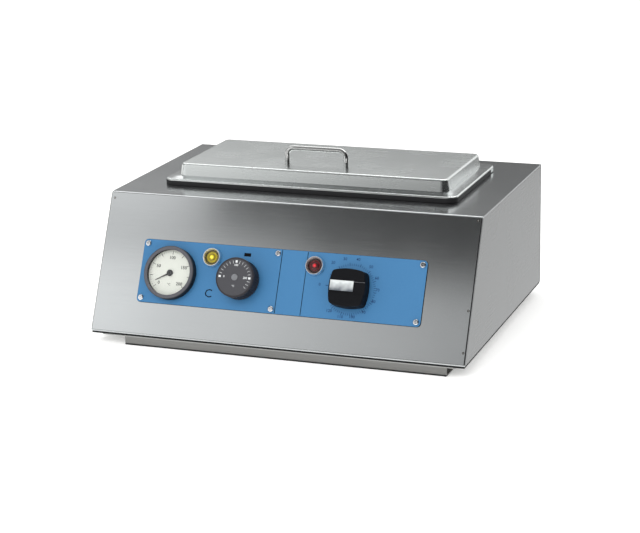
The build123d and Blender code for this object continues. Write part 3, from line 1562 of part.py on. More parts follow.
with BuildPart() as tray_grips:
    for side in (-1, 1):
        with BuildLine(Plane.YZ.offset(side * grip_x)) as grip_path:
            FilletPolyline(
                (lid_y - grip_span / 2, grip_low),
                (lid_y - grip_span / 2, tray_top + grip_rise),
                (lid_y + grip_span / 2, tray_top + grip_rise),
                (lid_y + grip_span / 2, grip_low),
                radius=grip_bend,
            )
        with BuildSketch(Plane.XY.offset(grip_low)):
            with Locations((side * grip_x, lid_y - grip_span / 2)):
                Circle(grip_rod / 2)
        sweep(path=grip_path.wires()[0])
save(tray_grips.part, "tray_grips")
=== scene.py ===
import math

import bmesh
import bpy
from mathutils import Matrix, Vector


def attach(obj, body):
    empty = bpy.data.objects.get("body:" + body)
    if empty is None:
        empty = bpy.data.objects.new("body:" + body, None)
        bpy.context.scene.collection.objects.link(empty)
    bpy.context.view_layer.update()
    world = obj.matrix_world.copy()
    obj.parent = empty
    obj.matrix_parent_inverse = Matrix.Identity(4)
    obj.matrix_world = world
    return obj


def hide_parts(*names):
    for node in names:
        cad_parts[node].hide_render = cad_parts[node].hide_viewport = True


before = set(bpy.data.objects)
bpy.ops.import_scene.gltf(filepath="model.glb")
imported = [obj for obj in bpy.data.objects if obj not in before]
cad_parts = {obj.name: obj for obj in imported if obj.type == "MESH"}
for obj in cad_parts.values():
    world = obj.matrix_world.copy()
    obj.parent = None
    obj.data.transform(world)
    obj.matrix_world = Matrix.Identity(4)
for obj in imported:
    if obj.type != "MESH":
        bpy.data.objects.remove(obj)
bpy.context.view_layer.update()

# Casing: one sheet of stainless steel folded into front, top and back, with a side panel let in at
# each end. The sheet is brushed along its length, and the corners are folded and spot welded.
MM = 0.001
# a brush line runs out after about 70 mm, and hands dull the sheet in patches about 45 mm wide
BRUSH_RUN, HANDLED_PATCH = 70, 45


def linear(code):
    """The linear colour of an sRGB hex value."""
    channels = [int(code[i:i + 2], 16) / 255 for i in (1, 3, 5)]
    return [c / 12.92 if c <= 0.04045 else ((c + 0.055) / 1.055) ** 2.4 for c in channels] + [1]


def start_material(name):
    """An empty node material."""
    material = bpy.data.materials.new(name)
    material.use_nodes = True
    material.node_tree.nodes.clear()
    return material


def add(material, kind, inputs=None, **settings):
    """Adds one node with its settings. Each input is a value or the output that feeds it."""
    node = material.node_tree.nodes.new("ShaderNode" + kind)
    for name, value in settings.items():
        setattr(node, name, value)
    for name, value in (inputs or {}).items():
        if isinstance(value, bpy.types.NodeSocket):
            material.node_tree.links.new(value, node.inputs[name])
        else:
            node.inputs[name].default_value = value
    return node


def dress(node_name, material):
    """Puts a material on a node of the frame."""
    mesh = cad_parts[node_name].data
    mesh.materials.clear()
    mesh.materials.append(material)


def brushed_steel(name, light, dark, grain, roughness, anisotropy, pitch, depth):
    """Stainless steel with brush lines along one axis, which stretch its highlights across them.

    The real lines are too fine to show, so the pitch, in mm, is several times theirs.
    """
    steel = start_material(name)
    place = add(steel, "TexCoord").outputs["Object"]
    scale = [1 / ((BRUSH_RUN if axis == grain else pitch) * MM) for axis in "XYZ"]
    stretched = add(steel, "Mapping", {"Vector": place, "Scale": scale}).outputs["Vector"]
    lines = add(steel, "TexNoise", {"Vector": stretched, "Scale": 1, "Detail": 4,
                                    "Roughness": 0.65})
    patches = add(steel, "TexNoise", {"Vector": place, "Scale": 1 / (HANDLED_PATCH * MM),
                                      "Detail": 3})
    tone = add(steel, "Mix", {0: lines.outputs["Fac"], 6: linear(dark), 7: linear(light)},
               data_type="RGBA")
    brushing = add(steel, "MapRange", {
        "Value": lines.outputs["Fac"], "From Min": 0.3, "From Max": 0.7,
        "To Min": roughness - 0.006, "To Max": roughness + 0.009})
    handling = add(steel, "MapRange", {
        "Value": patches.outputs["Fac"], "From Min": 0.35, "From Max": 0.75,
        "To Min": 0, "To Max": 0.02})
    total = add(steel, "Math", {0: brushing.outputs["Result"], 1: handling.outputs["Result"]})
    bump = add(steel, "Bump", {"Height": lines.outputs["Fac"], "Strength": depth,
                               "Distance": 0.05 * MM})
    tangent = add(steel, "Tangent", direction_type="RADIAL", axis="X" if grain == "X" else "Y")
    surface = add(steel, "BsdfPrincipled", {
        "Base Color": tone.outputs[2], "Metallic": 1, "Roughness": total.outputs["Value"],
        "Anisotropic": anisotropy, "Normal": bump.outputs["Normal"],
        "Tangent": tangent.outputs["Tangent"]})
    add(steel, "OutputMaterial", {"Surface": surface.outputs["BSDF"]})
    return steel


# brushed 304 sheet: soft grey, with highlights smeared up and down across the lines
sheet_steel = brushed_steel("brushed_stainless_sheet", "#C0C3C4", "#B5B8B9", "X", 0.15, 0.55, 0.7,
                            0.012)
dress("casing_wrap", sheet_steel)

# the side panels are cut from the same sheet with its lines running front to back, and are given
# a darker grey than the sheet: painted shade
side_steel_painted_shade = brushed_steel("brushed_stainless_side_painted_shade", "#B2B4B4", "#A8AAAA", "Y", 0.26, 0.4, 0.7,
                           0.012)
dress("right_side_panel", side_steel_painted_shade)
dress("left_side_panel", side_steel_painted_shade)

# Spot welds: small round dimples where the folded flange behind the front is welded to the side.
# The points lie on the sloping front, in mm, x to the right and s up the slope.
SLOPE = math.atan2(0.89849, 0.43900)
SLOPE_FOOT = (0, -174.6016 * MM, 14.5 * MM)
WELD_POINTS = ((225.2, 166.2), (226.4, 63.8), (226.4, 16.4), (-225.2, 163))
RING_PROFILE = ((0, -0.1), (1.4, -0.1), (1.4, 0.03), (1.1, 0.06), (0, 0.03))
SPOT_PROFILE = ((0, 0.0), (0.75, 0.0), (0.75, 0.08), (0.5, 0.14), (0, 0.17))
front = Matrix.Translation(SLOPE_FOOT) @ Matrix.Rotation(SLOPE, 4, "X")


def new_piece(name, shape, place, material, body):
    """Makes a bmesh, in millimetres of its place's own frame, into a piece that rides on a body."""
    bmesh.ops.recalc_face_normals(shape, faces=shape.faces)
    mesh = bpy.data.meshes.new(name)
    shape.to_mesh(mesh)
    shape.free()
    mesh.transform(place @ Matrix.Scale(MM, 4))
    mesh.materials.append(material)
    piece = bpy.data.objects.new(name, mesh)
    bpy.context.scene.collection.objects.link(piece)
    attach(piece, body)
    return piece


def turned(shape, profile, centre, steps):
    """Adds a closed turned form. The profile is (radius, height) points from axis to axis."""
    rings = []
    for radius, height in profile:
        if radius == 0:
            rings.append([shape.verts.new((centre[0], centre[1], height))])
        else:
            rings.append([shape.verts.new((centre[0] + radius * math.cos(math.tau * i / steps),
                                           centre[1] + radius * math.sin(math.tau * i / steps),
                                           height)) for i in range(steps)])
    for low, high in zip(rings, rings[1:]):
        for i in range(steps):
            j = (i + 1) % steps
            corners = []
            for vertex in (low[i % len(low)], low[j % len(low)], high[j % len(high)],
                           high[i % len(high)]):
                if vertex not in corners:
                    corners.append(vertex)
            shape.faces.new(corners)


def mottled(name, light, dark, patch, detail, finish):
    """A surface whose tone wanders over patches of a size in mm. The finish is shader values."""
    matter = start_material(name)
    place = add(matter, "TexCoord").outputs["Object"]
    cloud = add(matter, "TexNoise", {"Vector": place, "Scale": 1 / (patch * MM),
                                     "Detail": detail})
    tone = add(matter, "Mix", {0: cloud.outputs["Fac"], 6: linear(dark), 7: linear(light)},
               data_type="RGBA")
    surface = add(matter, "BsdfPrincipled", {"Base Color": tone.outputs[2], **finish})
    add(matter, "OutputMaterial", {"Surface": surface.outputs["BSDF"]})
    return matter


# steel blued by the weld's heat: a dull dark ring
weld_steel = mottled("blued_weld_mark", "#77716B", "#3F3B38", 1.2, 3,
                     {"Metallic": 1, "Roughness": 0.5})
# steel pressed by the electrode's tip: a bright spot in the middle of the ring
weld_bright = mottled("bright_weld_spot", "#E2E2DF", "#B9B9B6", 0.6, 3,
                      {"Metallic": 1, "Roughness": 0.35})
rings = bmesh.new()
spots = bmesh.new()
for point in WELD_POINTS:
    turned(rings, RING_PROFILE, point, 16)
    turned(spots, SPOT_PROFILE, point, 16)
new_piece("weld_rings", rings, front, weld_steel, "housing")
new_piece("weld_spots", spots, front, weld_bright, "housing")

# Corner shadow: a dark flush bead in the joint between the front and each side panel, painted
# shadow for the gap there. It is wider at the right corner, where the joint is open a little.
SUNK = -0.05  # thin pieces start this far, in mm, under the face that they lie on
BEAD_FOOT, BEAD_TOP, BEAD_HEIGHT = 3, 168.5, 0.06


def prism(shape, corners, low, high):
    """Adds a straight-sided block with these (x, y) corners."""
    bottom = [shape.verts.new((x, y, low)) for x, y in corners]
    top = [shape.verts.new((x, y, high)) for x, y in corners]
    shape.faces.new(bottom)
    shape.faces.new(top)
    for i in range(len(corners)):
        j = (i + 1) % len(corners)
        shape.faces.new((bottom[i], bottom[j], top[j], top[i]))


def rectangle(left, near, right, far):
    """The four corners of a rectangle."""
    return [(left, near), (right, near), (right, far), (left, far)]


# painted shadow: nearly black, darker and lighter in patches, with little gloss
painted_joint_shadow = mottled("dark_painted_joint_shadow", "#202123", "#0B0C0E", 5, 3,
                 {"Roughness": 0.6, "Specular IOR Level": 0.2})
beads = bmesh.new()
prism(beads, [(228.4, BEAD_FOOT), (229.95, BEAD_FOOT), (229.95, BEAD_TOP), (228.6, BEAD_TOP)],
      SUNK, BEAD_HEIGHT)
prism(beads, rectangle(-229.95, BEAD_FOOT, -229.5, BEAD_TOP), SUNK, BEAD_HEIGHT)
new_piece("corner_painted_shadow", beads, front, painted_joint_shadow, "housing")

# Base: a shallow pan closes the casing from below, and two folded rails under it stand on the
# table. They are plain stainless, held by zinc-plated screws. Black strips along the joints are
# partly seal and partly painted shadow.
SEAL_SHADOW_INNER = (-224.6, -169.2, 224.6, 165)
SEAL_SHADOW_OUTER = (-229.3, -172.8, 229.3, 169.6)
SEAL_SHADOW_LOW, SEAL_SHADOW_HIGH = 13.0, 14.45

# mill finish, as it leaves the rolls: greyer and duller than the brushed sheet
mill_steel = brushed_steel("mill_stainless", "#AEAFAD", "#9C9D9B", "X", 0.42, 0.3, 1.6, 0.03)
dress("base_pan", mill_steel)
# the rails are scuffed by the table: darker, with a broad weak sheen
rail_steel = brushed_steel("dull_rail_stainless", "#8F8F8D", "#7E7E7C", "X", 0.45, 0.3, 1.6, 0.03)
dress("front_rail", rail_steel)
dress("rear_rail", rail_steel)


def plated(name, light, dark, low, high, patch):
    """Plated or plain metal whose tone and gloss wander over patches of a size in mm."""
    metal = start_material(name)
    place = add(metal, "TexCoord").outputs["Object"]
    cloud = add(metal, "TexNoise", {"Vector": place, "Scale": 1 / (patch * MM), "Detail": 4})
    tone = add(metal, "Mix", {0: cloud.outputs["Fac"], 6: linear(dark), 7: linear(light)},
               data_type="RGBA")
    gloss = add(metal, "MapRange", {"Value": cloud.outputs["Fac"], "From Min": 0.3,
                                    "From Max": 0.7, "To Min": low, "To Max": high})
    bump = add(metal, "Bump", {"Height": cloud.outputs["Fac"], "Strength": 0.05,
                               "Distance": 0.05 * MM})
    surface = add(metal, "BsdfPrincipled", {
        "Base Color": tone.outputs[2], "Metallic": 1, "Roughness": gloss.outputs["Result"],
        "Normal": bump.outputs["Normal"]})
    add(metal, "OutputMaterial", {"Surface": surface.outputs["BSDF"]})
    return metal


def frame_band(shape, inner, outer, low, high):
    """Adds a flat rectangular ring. inner and outer are (left, front, right, back)."""
    rings = []
    for sides, z in ((inner, low), (outer, low), (outer, high), (inner, high)):
        rings.append([shape.verts.new((x, y, z)) for x, y in rectangle(*sides)])
    for here, there in zip(rings, rings[1:] + rings[:1]):
        for i in range(4):
            j = (i + 1) % 4
            shape.faces.new((here[i], here[j], there[j], there[i]))


# black strip with a fine dusty grain and no gloss. One lies in the joint between the pan and the
# casing's folded edge, partly a rubber seal and partly painted shadow; the other edges the front
# rail and is painted shadow.
black_strip_and_painted_shadow = mottled("black_strip_seal_and_painted_shadow", "#1D1E20", "#0F1012", 0.8, 4,
                     {"Roughness": 0.7, "Specular IOR Level": 0.2})
# partly a rubber seal and partly painted shadow: the dark gap under the casing's folded edge
seal_and_shadow_band = bmesh.new()
frame_band(seal_and_shadow_band, SEAL_SHADOW_INNER, SEAL_SHADOW_OUTER, SEAL_SHADOW_LOW, SEAL_SHADOW_HIGH)
new_piece("base_seal_and_painted_shadow", seal_and_shadow_band, Matrix(), black_strip_and_painted_shadow, "housing")
# painted shadow: a black strip along the front rail's foot stands for its contact shadow on the
# table
strip = bmesh.new()
prism(strip, rectangle(-188.9, -168.25, 207.4, -167.7), 0.05, 1.1)
new_piece("rail_edge_painted_shadow", strip, Matrix(), black_strip_and_painted_shadow, "housing")

# bright zinc: bluish grey with a faint bloom
zinc = plated("zinc_plated_steel", "#C9CDD2", "#A9ADB2", 0.25, 0.4, 4)
dress("base_screws", zinc)

# Tank: the drawn stainless chamber that hangs in the casing's top, with a black silicone gasket
# round its rim for the lid to close on.

# deep-drawn stainless: the press pulls its lines apart, which leaves a soft wide sheen
tank_steel = brushed_steel("drawn_tank_stainless", "#BDBEBC", "#A9AAA8", "X", 0.3, 0.2, 2.5, 0.03)
dress("tank", tank_steel)


def moulded(name, light, dark, low, high, grain, depth, specular=0.5):
    """Moulded or sprayed matter: its grain, a size in mm, roughens the tone, gloss and surface.

    The real grain is mostly finer than a tenth of a millimetre, so it is drawn coarser to show.
    """
    matter = start_material(name)
    place = add(matter, "TexCoord").outputs["Object"]
    grains = add(matter, "TexNoise", {"Vector": place, "Scale": 1 / (grain * MM), "Detail": 5,
                                      "Roughness": 0.6})
    tone = add(matter, "Mix", {0: grains.outputs["Fac"], 6: linear(dark), 7: linear(light)},
               data_type="RGBA")
    gloss = add(matter, "MapRange", {"Value": grains.outputs["Fac"], "From Min": 0.3,
                                     "From Max": 0.7, "To Min": low, "To Max": high})
    bump = add(matter, "Bump", {"Height": grains.outputs["Fac"], "Strength": depth,
                                "Distance": 0.1 * MM})
    surface = add(matter, "BsdfPrincipled", {
        "Base Color": tone.outputs[2], "Roughness": gloss.outputs["Result"],
        "Specular IOR Level": specular, "Normal": bump.outputs["Normal"]})
    add(matter, "OutputMaterial", {"Surface": surface.outputs["BSDF"]})
    return matter


# silicone rubber: dense black with a dry, slightly dusty face
silicone = moulded("black_silicone", "#232325", "#141416", 0.55, 0.7, 1.5, 0.1)
dress("lid_gasket", silicone)

# Insulation: slabs of mineral wool packed round the chamber, in a box of galvanised sheet that
# stands on folded brackets.

# mineral wool: loose yellow fibres with no gloss at all
wool = moulded("mineral_wool", "#C9B77F", "#8E7B4C", 0.9, 1.0, 1.2, 0.9, 0.1)
dress("chamber_wool", wool)

# hot-dip galvanising: flat crystals of zinc, each with a grey and a gloss of its own
SPANGLE = 9
galvanised = start_material("galvanised_sheet")
place = add(galvanised, "TexCoord").outputs["Object"]
spangle = add(galvanised, "TexVoronoi", {"Vector": place, "Scale": 1 / (SPANGLE * MM)})
tone = add(galvanised, "Mix", {0: spangle.outputs["Color"], 6: linear("#9FA4A6"),
                               7: linear("#C3C8CA")}, data_type="RGBA")
gloss = add(galvanised, "MapRange", {"Value": spangle.outputs["Color"], "To Min": 0.3,
                                     "To Max": 0.5})
surface = add(galvanised, "BsdfPrincipled", {"Base Color": tone.outputs[2], "Metallic": 1,
                                             "Roughness": gloss.outputs["Result"]})
add(galvanised, "OutputMaterial", {"Surface": surface.outputs["BSDF"]})
for part in ("wool_box", "box_supports", "heater_clips"):
    dress(part, galvanised)

# Heater: a sheathed rod bent into a serpentine under the chamber, on clips, with ceramic bushes
# and plated studs at its ends.

# stainless sheath coloured by heat: dark brown and blue patches with a dull gloss
sheath = plated("oxidised_sheath", "#4A4440", "#2A2B33", 0.45, 0.65, 12)
dress("heating_element", sheath)
# unglazed steatite: cream white and smooth, with a weak gloss
steatite = moulded("steatite_ceramic", "#E6E2D6", "#D6D0C1", 0.35, 0.5, 0.8, 0.1)
dress("heater_bushes", steatite)
dress("heater_studs", zinc)

# Feelers: the copper bulbs of the thermostat and the thermometer lie clipped to the chamber's
# front wall, and a phenolic cut-out is screwed on beside them.

# drawn copper browned by age: warm metal, duller in patches
copper = plated("aged_copper", "#C98A63", "#8E5A40", 0.3, 0.45, 6)
dress("thermostat_bulb", copper)
dress("thermometer_bulb", copper)
dress("bulb_clips", mill_steel)
# phenolic moulding: brownish black with a low even gloss
phenolic = moulded("black_phenolic", "#2A2725", "#1A1817", 0.4, 0.55, 0.6, 0.1)
dress("safety_cutout", phenolic)

# Control panel: a folded aluminium plate, enamelled blue and screen printed, held on the front
# by six cross-recess screws. A thin black strip under it is painted shadow along its edges.
PEEL, SPECK, FADED_PATCH = 1.6, 0.7, 60
SHADOW_STRIP_MIDDLES = ((169, 45.15), (169, 111.65), (-172, 111.65), (-172, 45.15))
SHADOW_STRIP_RADIUS, SHADOW_STRIP_HEIGHT = 4.8, 1.1

# stoved enamel: a strong blue, faded a little in large patches, with orange peel and fine specks
enamel = start_material("blue_enamel")
place = add(enamel, "TexCoord").outputs["Object"]
peel = add(enamel, "TexNoise", {"Vector": place, "Scale": 1 / (PEEL * MM), "Detail": 2})
speck = add(enamel, "TexNoise", {"Vector": place, "Scale": 1 / (SPECK * MM), "Detail": 4})
tone_blend = add(enamel, "TexNoise", {"Vector": place, "Scale": 1 / (FADED_PATCH * MM), "Detail": 2})
base = add(enamel, "Mix", {0: tone_blend.outputs["Fac"], 6: linear("#2F6390"), 7: linear("#376D9A")},
           data_type="RGBA")
tone = add(enamel, "Mix", {0: speck.outputs["Fac"], 6: base.outputs[2], 7: linear("#3F759F")},
           data_type="RGBA")
bump = add(enamel, "Bump", {"Height": peel.outputs["Fac"], "Strength": 0.08,
                            "Distance": 0.05 * MM})
gloss = add(enamel, "MapRange", {"Value": speck.outputs["Fac"], "To Min": 0.36, "To Max": 0.5})
surface = add(enamel, "BsdfPrincipled", {"Base Color": tone.outputs[2], "Specular IOR Level": 0.2,
                                         "Roughness": gloss.outputs["Result"],
                                         "Normal": bump.outputs["Normal"]})
add(enamel, "OutputMaterial", {"Surface": surface.outputs["BSDF"]})
dress("control_panel", enamel)

# painted shadow: a black slab under the panel, a little larger than it, shows as a dark line along
# its edges
shadow_strip = bmesh.new()
shadow_strip_outline = []
for number, (x, s) in enumerate(SHADOW_STRIP_MIDDLES):
    for i in range(5):
        angle = math.radians(90 * number - 90 + 22.5 * i)
        shadow_strip_outline.append((x + SHADOW_STRIP_RADIUS * math.cos(angle),
                               s + SHADOW_STRIP_RADIUS * math.sin(angle)))
prism(shadow_strip, shadow_strip_outline, SUNK, SHADOW_STRIP_HEIGHT)
new_piece("panel_painted_shadow_strip", shadow_strip, front, black_strip_and_painted_shadow, "housing")

# Panel print: fine ink rules, the index mark over the thermostat, and the timer's scale of
# minutes. Ink stands a few hundredths of a millimetre on the enamel, and its foot is sunk in it.
PANEL_FACE = 1.5
INK_FOOT, INK = 0.03, 0.05
TEXT_SIZE = 1.38  # Blender's size for a text, over the height of its figures
RULE = 0.8
TIMER = (86.7, 76.2)
# the strokes' distances from the spindle in mm, and their angles in degrees
STROKE_FOOT, STROKE_END, LONG_STROKE_END = 27.4, 30, 31
FIRST_STROKE, STROKE_STEP, STROKES, ZERO_STROKE = 150, 5.1, 57, 175
# each figure with its place on the panel, x and s
MINUTES = ((0, 48.7, 79.2), (20, 61.7, 105.6), (30, 75.5, 110.8), (40, 91.4, 111.3),
           (50, 107.6, 104), (60, 116.2, 91.7), (70, 118.7, 78.2), (80, 115.7, 64.6),
           (90, 105.5, 51.6), (100, 92.4, 45.1), (110, 78.3, 44.1), (120, 64.1, 49.9))


def bar(shape, middle, angle, near, far, width, low, high):
    """Adds a printed stroke that points away from a middle, between two distances from it."""
    along = Vector((math.cos(math.radians(angle)), math.sin(math.radians(angle))))
    across = Vector((-along.y, along.x)) * width / 2
    middle = Vector(middle)
    prism(shape, [middle + along * near - across, middle + along * far - across,
                  middle + along * far + across, middle + along * near + across], low, high)


def words(shape, text, middle, height, low, high, bold=0.0):
    """Adds printed figures of a height in mm, centred on a point."""
    curve = bpy.data.curves.new(text, "FONT")
    curve.body = text
    curve.size = height * TEXT_SIZE
    curve.align_x = "CENTER"
    curve.align_y = "CENTER"
    curve.extrude = (high - low) / 2
    curve.offset = bold
    curve.resolution_u = 2
    holder = bpy.data.objects.new(text, curve)
    bpy.context.scene.collection.objects.link(holder)
    bpy.context.view_layer.update()
    mesh = bpy.data.meshes.new_from_object(holder.evaluated_get(
        bpy.context.evaluated_depsgraph_get()))
    mesh.transform(Matrix.Translation((middle[0], middle[1], (low + high) / 2)))
    shape.from_mesh(mesh)
    bpy.data.objects.remove(holder)
    bpy.data.curves.remove(curve)
    bpy.data.meshes.remove(mesh)


# screen ink: a flat coat with a sharp edge and hardly any gloss
black_ink = moulded("black_screen_ink", "#0B0C10", "#050608", 0.5, 0.6, 0.5, 0.05, 0.1)
blue_ink = moulded("dark_blue_screen_ink", "#1E3664", "#162A50", 0.5, 0.6, 0.5, 0.05, 0.1)

low, high = PANEL_FACE - INK_FOOT, PANEL_FACE + INK
marks = bmesh.new()
for x in (-1.6, 30):
    prism(marks, rectangle(x - RULE / 2, 41.2, x + RULE / 2, 115.6), low, high)
prism(marks, rectangle(-48.3, 104.5, -39.9, 108.5), low, high)
words(marks, "C", (-86.6, 57.1), 10.2, low, high)
new_piece("panel_rules", marks, front, black_ink, "housing")

scale = bmesh.new()
for value, x, s in MINUTES:
    words(scale, str(value), (x, s), 3.5, low, high, 0.03)
for step in range(STROKES):
    end, width = (LONG_STROKE_END, 0.6) if step % 5 == 0 else (STROKE_END, 0.4)
    bar(scale, TIMER, FIRST_STROKE - STROKE_STEP * step, STROKE_FOOT, end, width, low, high)
bar(scale, TIMER, ZERO_STROKE, STROKE_FOOT, LONG_STROKE_END, 0.6, low, high)
new_piece("timer_scale", scale, front, blue_ink, "housing")

# Panel screws: pan-head screws with a cross recess, driven through the plate into the front.
# They are steel, plated with chrome after the heads are polished.

# chrome plate: a bluish near-mirror with a trace of haze
chrome = plated("chrome_plate", "#E4E6E8", "#D2D4D7", 0.06, 0.14, 3)
dress("panel_screws", chrome)

# Thermometer: a 60 mm dial instrument in a black steel case. A black bezel, painted grey on its
# face as painted sheen, holds a flat glass over a white dial, and a black pointer shows the heat.
GAUGE = (-136.5, 77)
DIAL_FACE = 5.4
# the scale's first angle and its sweep in degrees, its last figure, and how many strokes it has
DIAL_START, DIAL_SWEEP, DIAL_TOP, DIAL_STROKES = 222, 264, 200, 41
# how far the figures stand from the dial's middle, across it and up it
FIGURES_X, FIGURES_S = 17.6, 18.2
# hammer spots per mm, and the heights where the ring turns from black to a painted grey sheen
HAMMER = 0.9
BLACK_BELOW, GREY_ABOVE = 10.4, 11.4
NEEDLE_ANGLE, NEEDLE_LENGTH = 209, 20

# stoved lacquer on steel: half matt black
black_steel = moulded("black_stoved_steel", "#19191B", "#0D0D0F", 0.35, 0.5, 0.9, 0.08)
dress("thermometer_case", black_steel)
# turned brass: warm yellow, tarnished a little in patches
brass = plated("brass", "#D0B06A", "#A98A4A", 0.25, 0.4, 5)
dress("thermometer_movement", brass)
# lacquered aluminium: matt white, greyed by age
dial_white = moulded("dial_white_lacquer", "#DBDAD5", "#D2D2CC", 0.55, 0.7, 2.5, 0.03)
dress("thermometer_dial", dial_white)


def front_place(material, centre):
    """A texture's place in mm from a point on the sloping front, with Z standing out of it."""
    return add(material, "Mapping", {
        "Vector": add(material, "TexCoord").outputs["Object"],
        "Location": front @ Vector((centre[0] * MM, centre[1] * MM, 0)),
        "Rotation": (SLOPE, 0, 0), "Scale": (MM, MM, MM)}, vector_type="TEXTURE").outputs["Vector"]


# black hammer lacquer: painted sheen makes the ring's face a mottled grey, and its rolled edge
# stays black
bezel_painted_sheen = start_material("hammer_lacquer_painted_sheen")
place = front_place(bezel_painted_sheen, GAUGE)
height = add(bezel_painted_sheen, "SeparateXYZ", {"Vector": place}).outputs["Z"]
hammer = add(bezel_painted_sheen, "TexNoise", {"Vector": place, "Scale": HAMMER, "Detail": 4})
face = add(bezel_painted_sheen, "Mix", {0: hammer.outputs["Fac"], 6: linear("#38383D"),
                               7: linear("#606066")}, data_type="RGBA")
# painted sheen: grey where the face catches the light, black down the edge in shade
edge = add(bezel_painted_sheen, "MapRange", {"Value": height, "From Min": BLACK_BELOW,
                                    "From Max": GREY_ABOVE})
tone = add(bezel_painted_sheen, "Mix", {0: edge.outputs["Result"], 6: linear("#101013"),
                               7: face.outputs[2]}, data_type="RGBA")
gloss = add(bezel_painted_sheen, "MapRange", {"Value": hammer.outputs["Fac"], "To Min": 0.4,
                                     "To Max": 0.6})
bump = add(bezel_painted_sheen, "Bump", {"Height": hammer.outputs["Fac"], "Strength": 0.2,
                                "Distance": 0.2 * MM})
surface = add(bezel_painted_sheen, "BsdfPrincipled", {
    "Base Color": tone.outputs[2], "Roughness": gloss.outputs["Result"],
    "Specular IOR Level": 0.3, "Normal": bump.outputs["Normal"]})
add(bezel_painted_sheen, "OutputMaterial", {"Surface": surface.outputs["BSDF"]})
dress("thermometer_bezel", bezel_painted_sheen)
dress("thermometer_clamp", zinc)

# clear flat glass: it all but vanishes seen straight on, and mirrors the room at a flat angle
glass = start_material("clear_flat_glass")
facing = add(glass, "LayerWeight", {"Blend": 0.5}).outputs["Facing"]
steep = add(glass, "Math", {0: facing, 1: 4}, operation="POWER")
weight = add(glass, "MapRange", {"Value": steep.outputs["Value"], "To Min": 0.03, "To Max": 0.7})
wave = add(glass, "TexNoise", {"Vector": add(glass, "TexCoord").outputs["Object"],
                               "Scale": 1 / (20 * MM)})
gloss = add(glass, "MapRange", {"Value": wave.outputs["Fac"], "To Min": 0.01, "To Max": 0.06})
shine = add(glass, "BsdfGlossy", {"Roughness": gloss.outputs["Result"]})
clear = add(glass, "BsdfTransparent", {"Color": linear("#FCFDFC")})
surface = add(glass, "MixShader", {0: weight.outputs["Result"], 1: clear.outputs["BSDF"],
                                   2: shine.outputs["BSDF"]})
add(glass, "OutputMaterial", {"Surface": surface.outputs["Shader"]})
dress("thermometer_glass", glass)

low, high = DIAL_FACE - INK_FOOT, DIAL_FACE + INK
scale = bmesh.new()
for step in range(DIAL_STROKES):
    foot, width = (22, 0.6) if step % 5 == 0 else (24.4, 0.2)
    bar(scale, GAUGE, DIAL_START - DIAL_SWEEP * step / (DIAL_STROKES - 1), foot, 26, width,
        low, high)
for value in (0, 50, 100, 150, 200):
    turn = math.radians(DIAL_START - DIAL_SWEEP * value / DIAL_TOP)
    words(scale, str(value), (GAUGE[0] + FIGURES_X * math.cos(turn),
                              GAUGE[1] + FIGURES_S * math.sin(turn)), 3.9, low, high, 0.1)
words(scale, "°C", (GAUGE[0], GAUGE[1] - 13.5), 2.8, low, high, 0.05)
new_piece("thermometer_scale", scale, front, black_ink, "housing")

# the needle is one stamped strip on a turned boss, at the CAD pointer's place and angle. Its matt
# lacquer gives no highlight that would hide where it points.
pointer_black = moulded("matt_black_lacquer", "#1C1E22", "#121317", 0.5, 0.6, 0.8, 0.04)
needle = bmesh.new()
hub_middle = Vector(GAUGE)
along = Vector((math.cos(math.radians(NEEDLE_ANGLE)), math.sin(math.radians(NEEDLE_ANGLE))))
across = Vector((-along.y, along.x))
tip = hub_middle + along * NEEDLE_LENGTH
prism(needle, [hub_middle + across * 0.95, hub_middle - across * 0.95,
               tip - across * 0.3, tip + across * 0.3], 6.2, 6.8)
turned(needle, [(0, 6.0), (3.5, 6.0), (3.75, 6.2), (3.75, 7.5), (3.3, 8.0), (1.3, 8.0),
                (1.1, 7.7), (0, 7.7)], GAUGE, 32)
turned(needle, [(0, -5.7), (1, -5.7), (1, 6.1), (0, 6.1)], GAUGE, 12)
piece = new_piece("thermometer_needle", needle, front, pointer_black, "needle")
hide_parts("thermometer_pointer")

# Pilot lamps: plastic lenses moulded with fine rings, in chromed bezels, on white nylon bodies
# held by nuts behind the panel. Yellow is the heater and red is the mains.
LENS_RADIUS, RING_PITCH = 8.5, 1.7
YELLOW_LAMP, RED_LAMP = (-87.4, 100), (40.6, 100)

# polished chrome under years of fine scratches: white metal with a soft gloss
bezel_chrome = plated("polished_chrome_ring", "#FDFDFD", "#EFF0F1", 0.3, 0.4, 3)
dress("lamp_bezels", bezel_chrome)
# moulded nylon: milky white with a waxy gloss
nylon = moulded("white_nylon", "#E2E1DA", "#D2D1C9", 0.45, 0.6, 2, 0.05)
dress("lamp_bodies", nylon)
dress("lamp_nuts", zinc)


